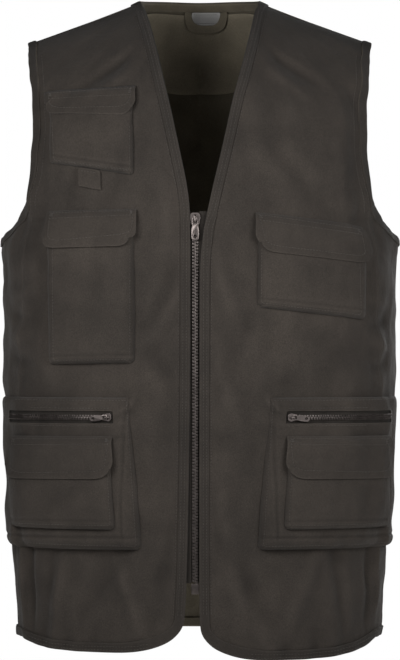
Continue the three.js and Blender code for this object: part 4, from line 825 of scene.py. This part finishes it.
# %% Topstitching
front_lines = []
for side, key in ((-1, "right"), (1, "left")):
    nodes = (f"front_binding_{key}", f"front_{key}")
    for inset in (0.0022, 0.0058, 0.0105):
        heights = np.arange(-0.012, -0.668, -0.006)
        front_lines.append(([(edge_x(side, z) + side * inset, z) for z in heights], nodes))
    spread = np.arange(0.055, 0.19, 0.006)
    feet = [(side * x, foot_z(side * x, nodes)) for x in spread]
    feet = [(x, z) for x, z in feet if z is not None]
    for rise in (0.0022, 0.0058):
        front_lines.append(([(x, z + rise) for x, z in feet], nodes))



def binding_path(node, side, inset):
    """The front half of an armhole binding, this far out from its inner edge."""
    points = surfaces[node][0]
    points = points[points[:, 1] < -0.01]
    steps = []
    for z in np.arange(-0.06, -0.236, -0.006):
        near = np.abs(points[:, 2] - z) < 0.003
        if near.any():
            steps.append((side * (np.abs(points[near, 0]).min() + inset), z))
    return steps


for side, key in ((-1, "right"), (1, "left")):
    binding = f"armhole_binding_{key}"
    for inset in (0.0016, -0.004):
        front_lines.append((binding_path(binding, side, inset), (binding, f"front_{key}")))
stitch_lines("edge_stitches", front_lines)

pocket_lines = []
for node in flaps:
    pocket_lines.append((within(node, [(2, 2), (-2, 2)]), (node,)))
    pocket_lines.append((within(node, [(2, 8), (-2, 8)]), (node,)))
    round_flap = [(3, 3), (3, -9), (6, -5.5), (14, -3.5), (-14, -3.5), (-6, -5.5), (-3, -9), (-3, 3)]
    pocket_lines.append((within(node, round_flap), (node,)))
for node in chest + patches:
    pocket_lines.append((within(node, [(3, 30), (3, -3), (-3, -3), (-3, 30)]), (node,)))
pocket_lines.append((within("upper_pocket", [(2, -2), (-2, -2)]), ("upper_pocket",)))
pocket_lines.append((within("pen_loop", [(2, 2), (-2, 2)]), ("pen_loop",)))
for node in cargo:
    pocket_lines.append((within(node, [(3, 3), (-3, 3), (-3, -3), (3, -3), (3, 3)]), (node,)))
    mirror = node.startswith("left")
    for gap in (11.5, 30.5):
        ends = [(20, gap), (-30, gap)] if mirror else [(30, gap), (-20, gap)]
        pocket_lines.append((within(node, ends), (node,)))
stitch_lines("pocket_stitches", pocket_lines)

neck_lines = []
for inset in (2, -2):
    neck_lines.append((within("neck_label", [(1.5, inset), (-1.5, inset)]), ("neck_label",)))
stitch_lines("label_stitches", neck_lines, pitch=0.0024, radius=0.00022)

# %% Bar tacks: short dense rows at the ends of each flap's band
tack_lines = []
for node in flaps:
    for across in (4, -4):
        for step in np.arange(0, 5, 0.9):
            u = across + (step if across > 0 else -step) * 0.45
            tack_lines.append((within(node, [(u, 2.2), (u, 7.8)]), (node,)))
stitch_lines("bar_tacks", tack_lines, pitch=0.0019, radius=0.0003)

# %% [markdown]
# ## What each panel was cut to
# Each panel's flat size is worked out and printed. Its area is half that of its closed wall, its length is
# the piece's height, and its width is area / length / PANEL_FILL, since a panel fills nine tenths of its
# rectangle.


# %% Sheets
def cut_size(piece):
    """(width, length, area) of the flat cloth."""
    mesh = piece.data
    areas = np.empty(len(mesh.polygons))
    mesh.polygons.foreach_get("area", areas)
    area = areas.sum() / 2
    length = max(piece.dimensions.z, 0.01)
    return area / length / PANEL_FILL, length, area


for node in ("front_right", "front_left", "back"):
    width, length, area = cut_size(panels[node])
    print(node, "cut to", np.round((width, length), 3), "m")

# %% [markdown]
# ## Light and camera
# Two soft boxes in front, a third behind, a wide one that lights only the pale floor, and a white backdrop.
# The camera stands 5 m away on a long lens, level with the middle of the vest.

# %% World
scene = bpy.context.scene
world = bpy.data.worlds.new("studio")
scene.world = world
world.use_nodes = True
nodes, links = world.node_tree.nodes, world.node_tree.links
nodes.clear()
seen_by_camera = nodes.new("ShaderNodeBackground")
seen_by_camera.inputs["Color"].default_value = (1, 1, 1, 1)
lighting = nodes.new("ShaderNodeBackground")
lighting.inputs["Color"].default_value = (1, 0.99, 0.98, 1)
lighting.inputs["Strength"].default_value = 0.04
path = nodes.new("ShaderNodeLightPath")
mixer = nodes.new("ShaderNodeMixShader")
output = nodes.new("ShaderNodeOutputWorld")
links.new(path.outputs["Is Camera Ray"], mixer.inputs[0])
links.new(lighting.outputs[0], mixer.inputs[1])
links.new(seen_by_camera.outputs[0], mixer.inputs[2])
links.new(mixer.outputs[0], output.inputs["Surface"])


# %% Lights
def softbox(name, place, aim, size, power):
    """A rectangular area light at place that points to aim."""
    light = bpy.data.lights.new(name, "AREA")
    light.shape = "RECTANGLE"
    light.size, light.size_y = size
    light.energy = power
    holder = bpy.data.objects.new(name, light)
    holder.location = place
    holder.rotation_euler = (Vector(aim) - Vector(place)).to_track_quat("-Z", "Y").to_euler()
    scene.collection.objects.link(holder)


softbox("key", (-0.4, -0.86, -0.08), (0, 0, -0.26), (0.4, 0.35), 3.7)
softbox("fill", (0.46, -0.86, -0.16), (0, 0, -0.26), (0.4, 0.4), 3.1)
softbox("back", (0.5, 1.3, -0.05), (0, 0, -0.32), (0.9, 0.9), 12)
softbox("under", (0, 0, -0.76), (0, 0, -1.2), (5, 5), 30)

# %% Floor
def floor_material():
    """Pale painted floor: one colour with faint cloudy tone."""
    material, tree, surface = new_material("pale_floor")
    place = add(tree, "ShaderNodeTexCoord").outputs["Object"]
    cloud = add(tree, "ShaderNodeTexNoise", i_Scale=2.5, i_Detail=4.0)
    tree.links.new(place, cloud.inputs["Vector"])
    mix = add(tree, "ShaderNodeVectorMath", operation="SCALE")
    mix.inputs[0].default_value = (0.78, 0.775, 0.765)
    tree.links.new(tone(tree, cloud.outputs["Fac"], 0.3, 0.7, 0.96, 1.04), mix.inputs["Scale"])
    tree.links.new(mix.outputs["Vector"], surface.inputs["Base Color"])
    surface.inputs["Roughness"].default_value = 0.8
    return material


FLOOR_HALF = 3.0
FLOOR_Z = -1.2
plane = bpy.data.meshes.new("floor")
square = [(-1, -1), (1, -1), (1, 1), (-1, 1)]
plane.from_pydata([(x * FLOOR_HALF, y * FLOOR_HALF, FLOOR_Z) for x, y in square], [], [(0, 1, 2, 3)])
plane.materials.append(floor_material())
floor = bpy.data.objects.new("floor", plane)
scene.collection.objects.link(floor)

# %% Camera
DISTANCE = 5.0
PIXEL = 0.0011
camera_data = bpy.data.cameras.new("camera")
camera_data.sensor_fit = "AUTO"
camera_data.sensor_width = 36
camera_data.lens = 36 * DISTANCE / (660 * PIXEL)
camera = bpy.data.objects.new("camera", camera_data)
camera.location = (0.4 * PIXEL, -DISTANCE, -0.36)
camera.rotation_euler = (math.pi / 2, 0, 0)
scene.collection.objects.link(camera)
scene.camera = camera
scene.view_settings.view_transform = "Standard"
scene.view_settings.look = "None"
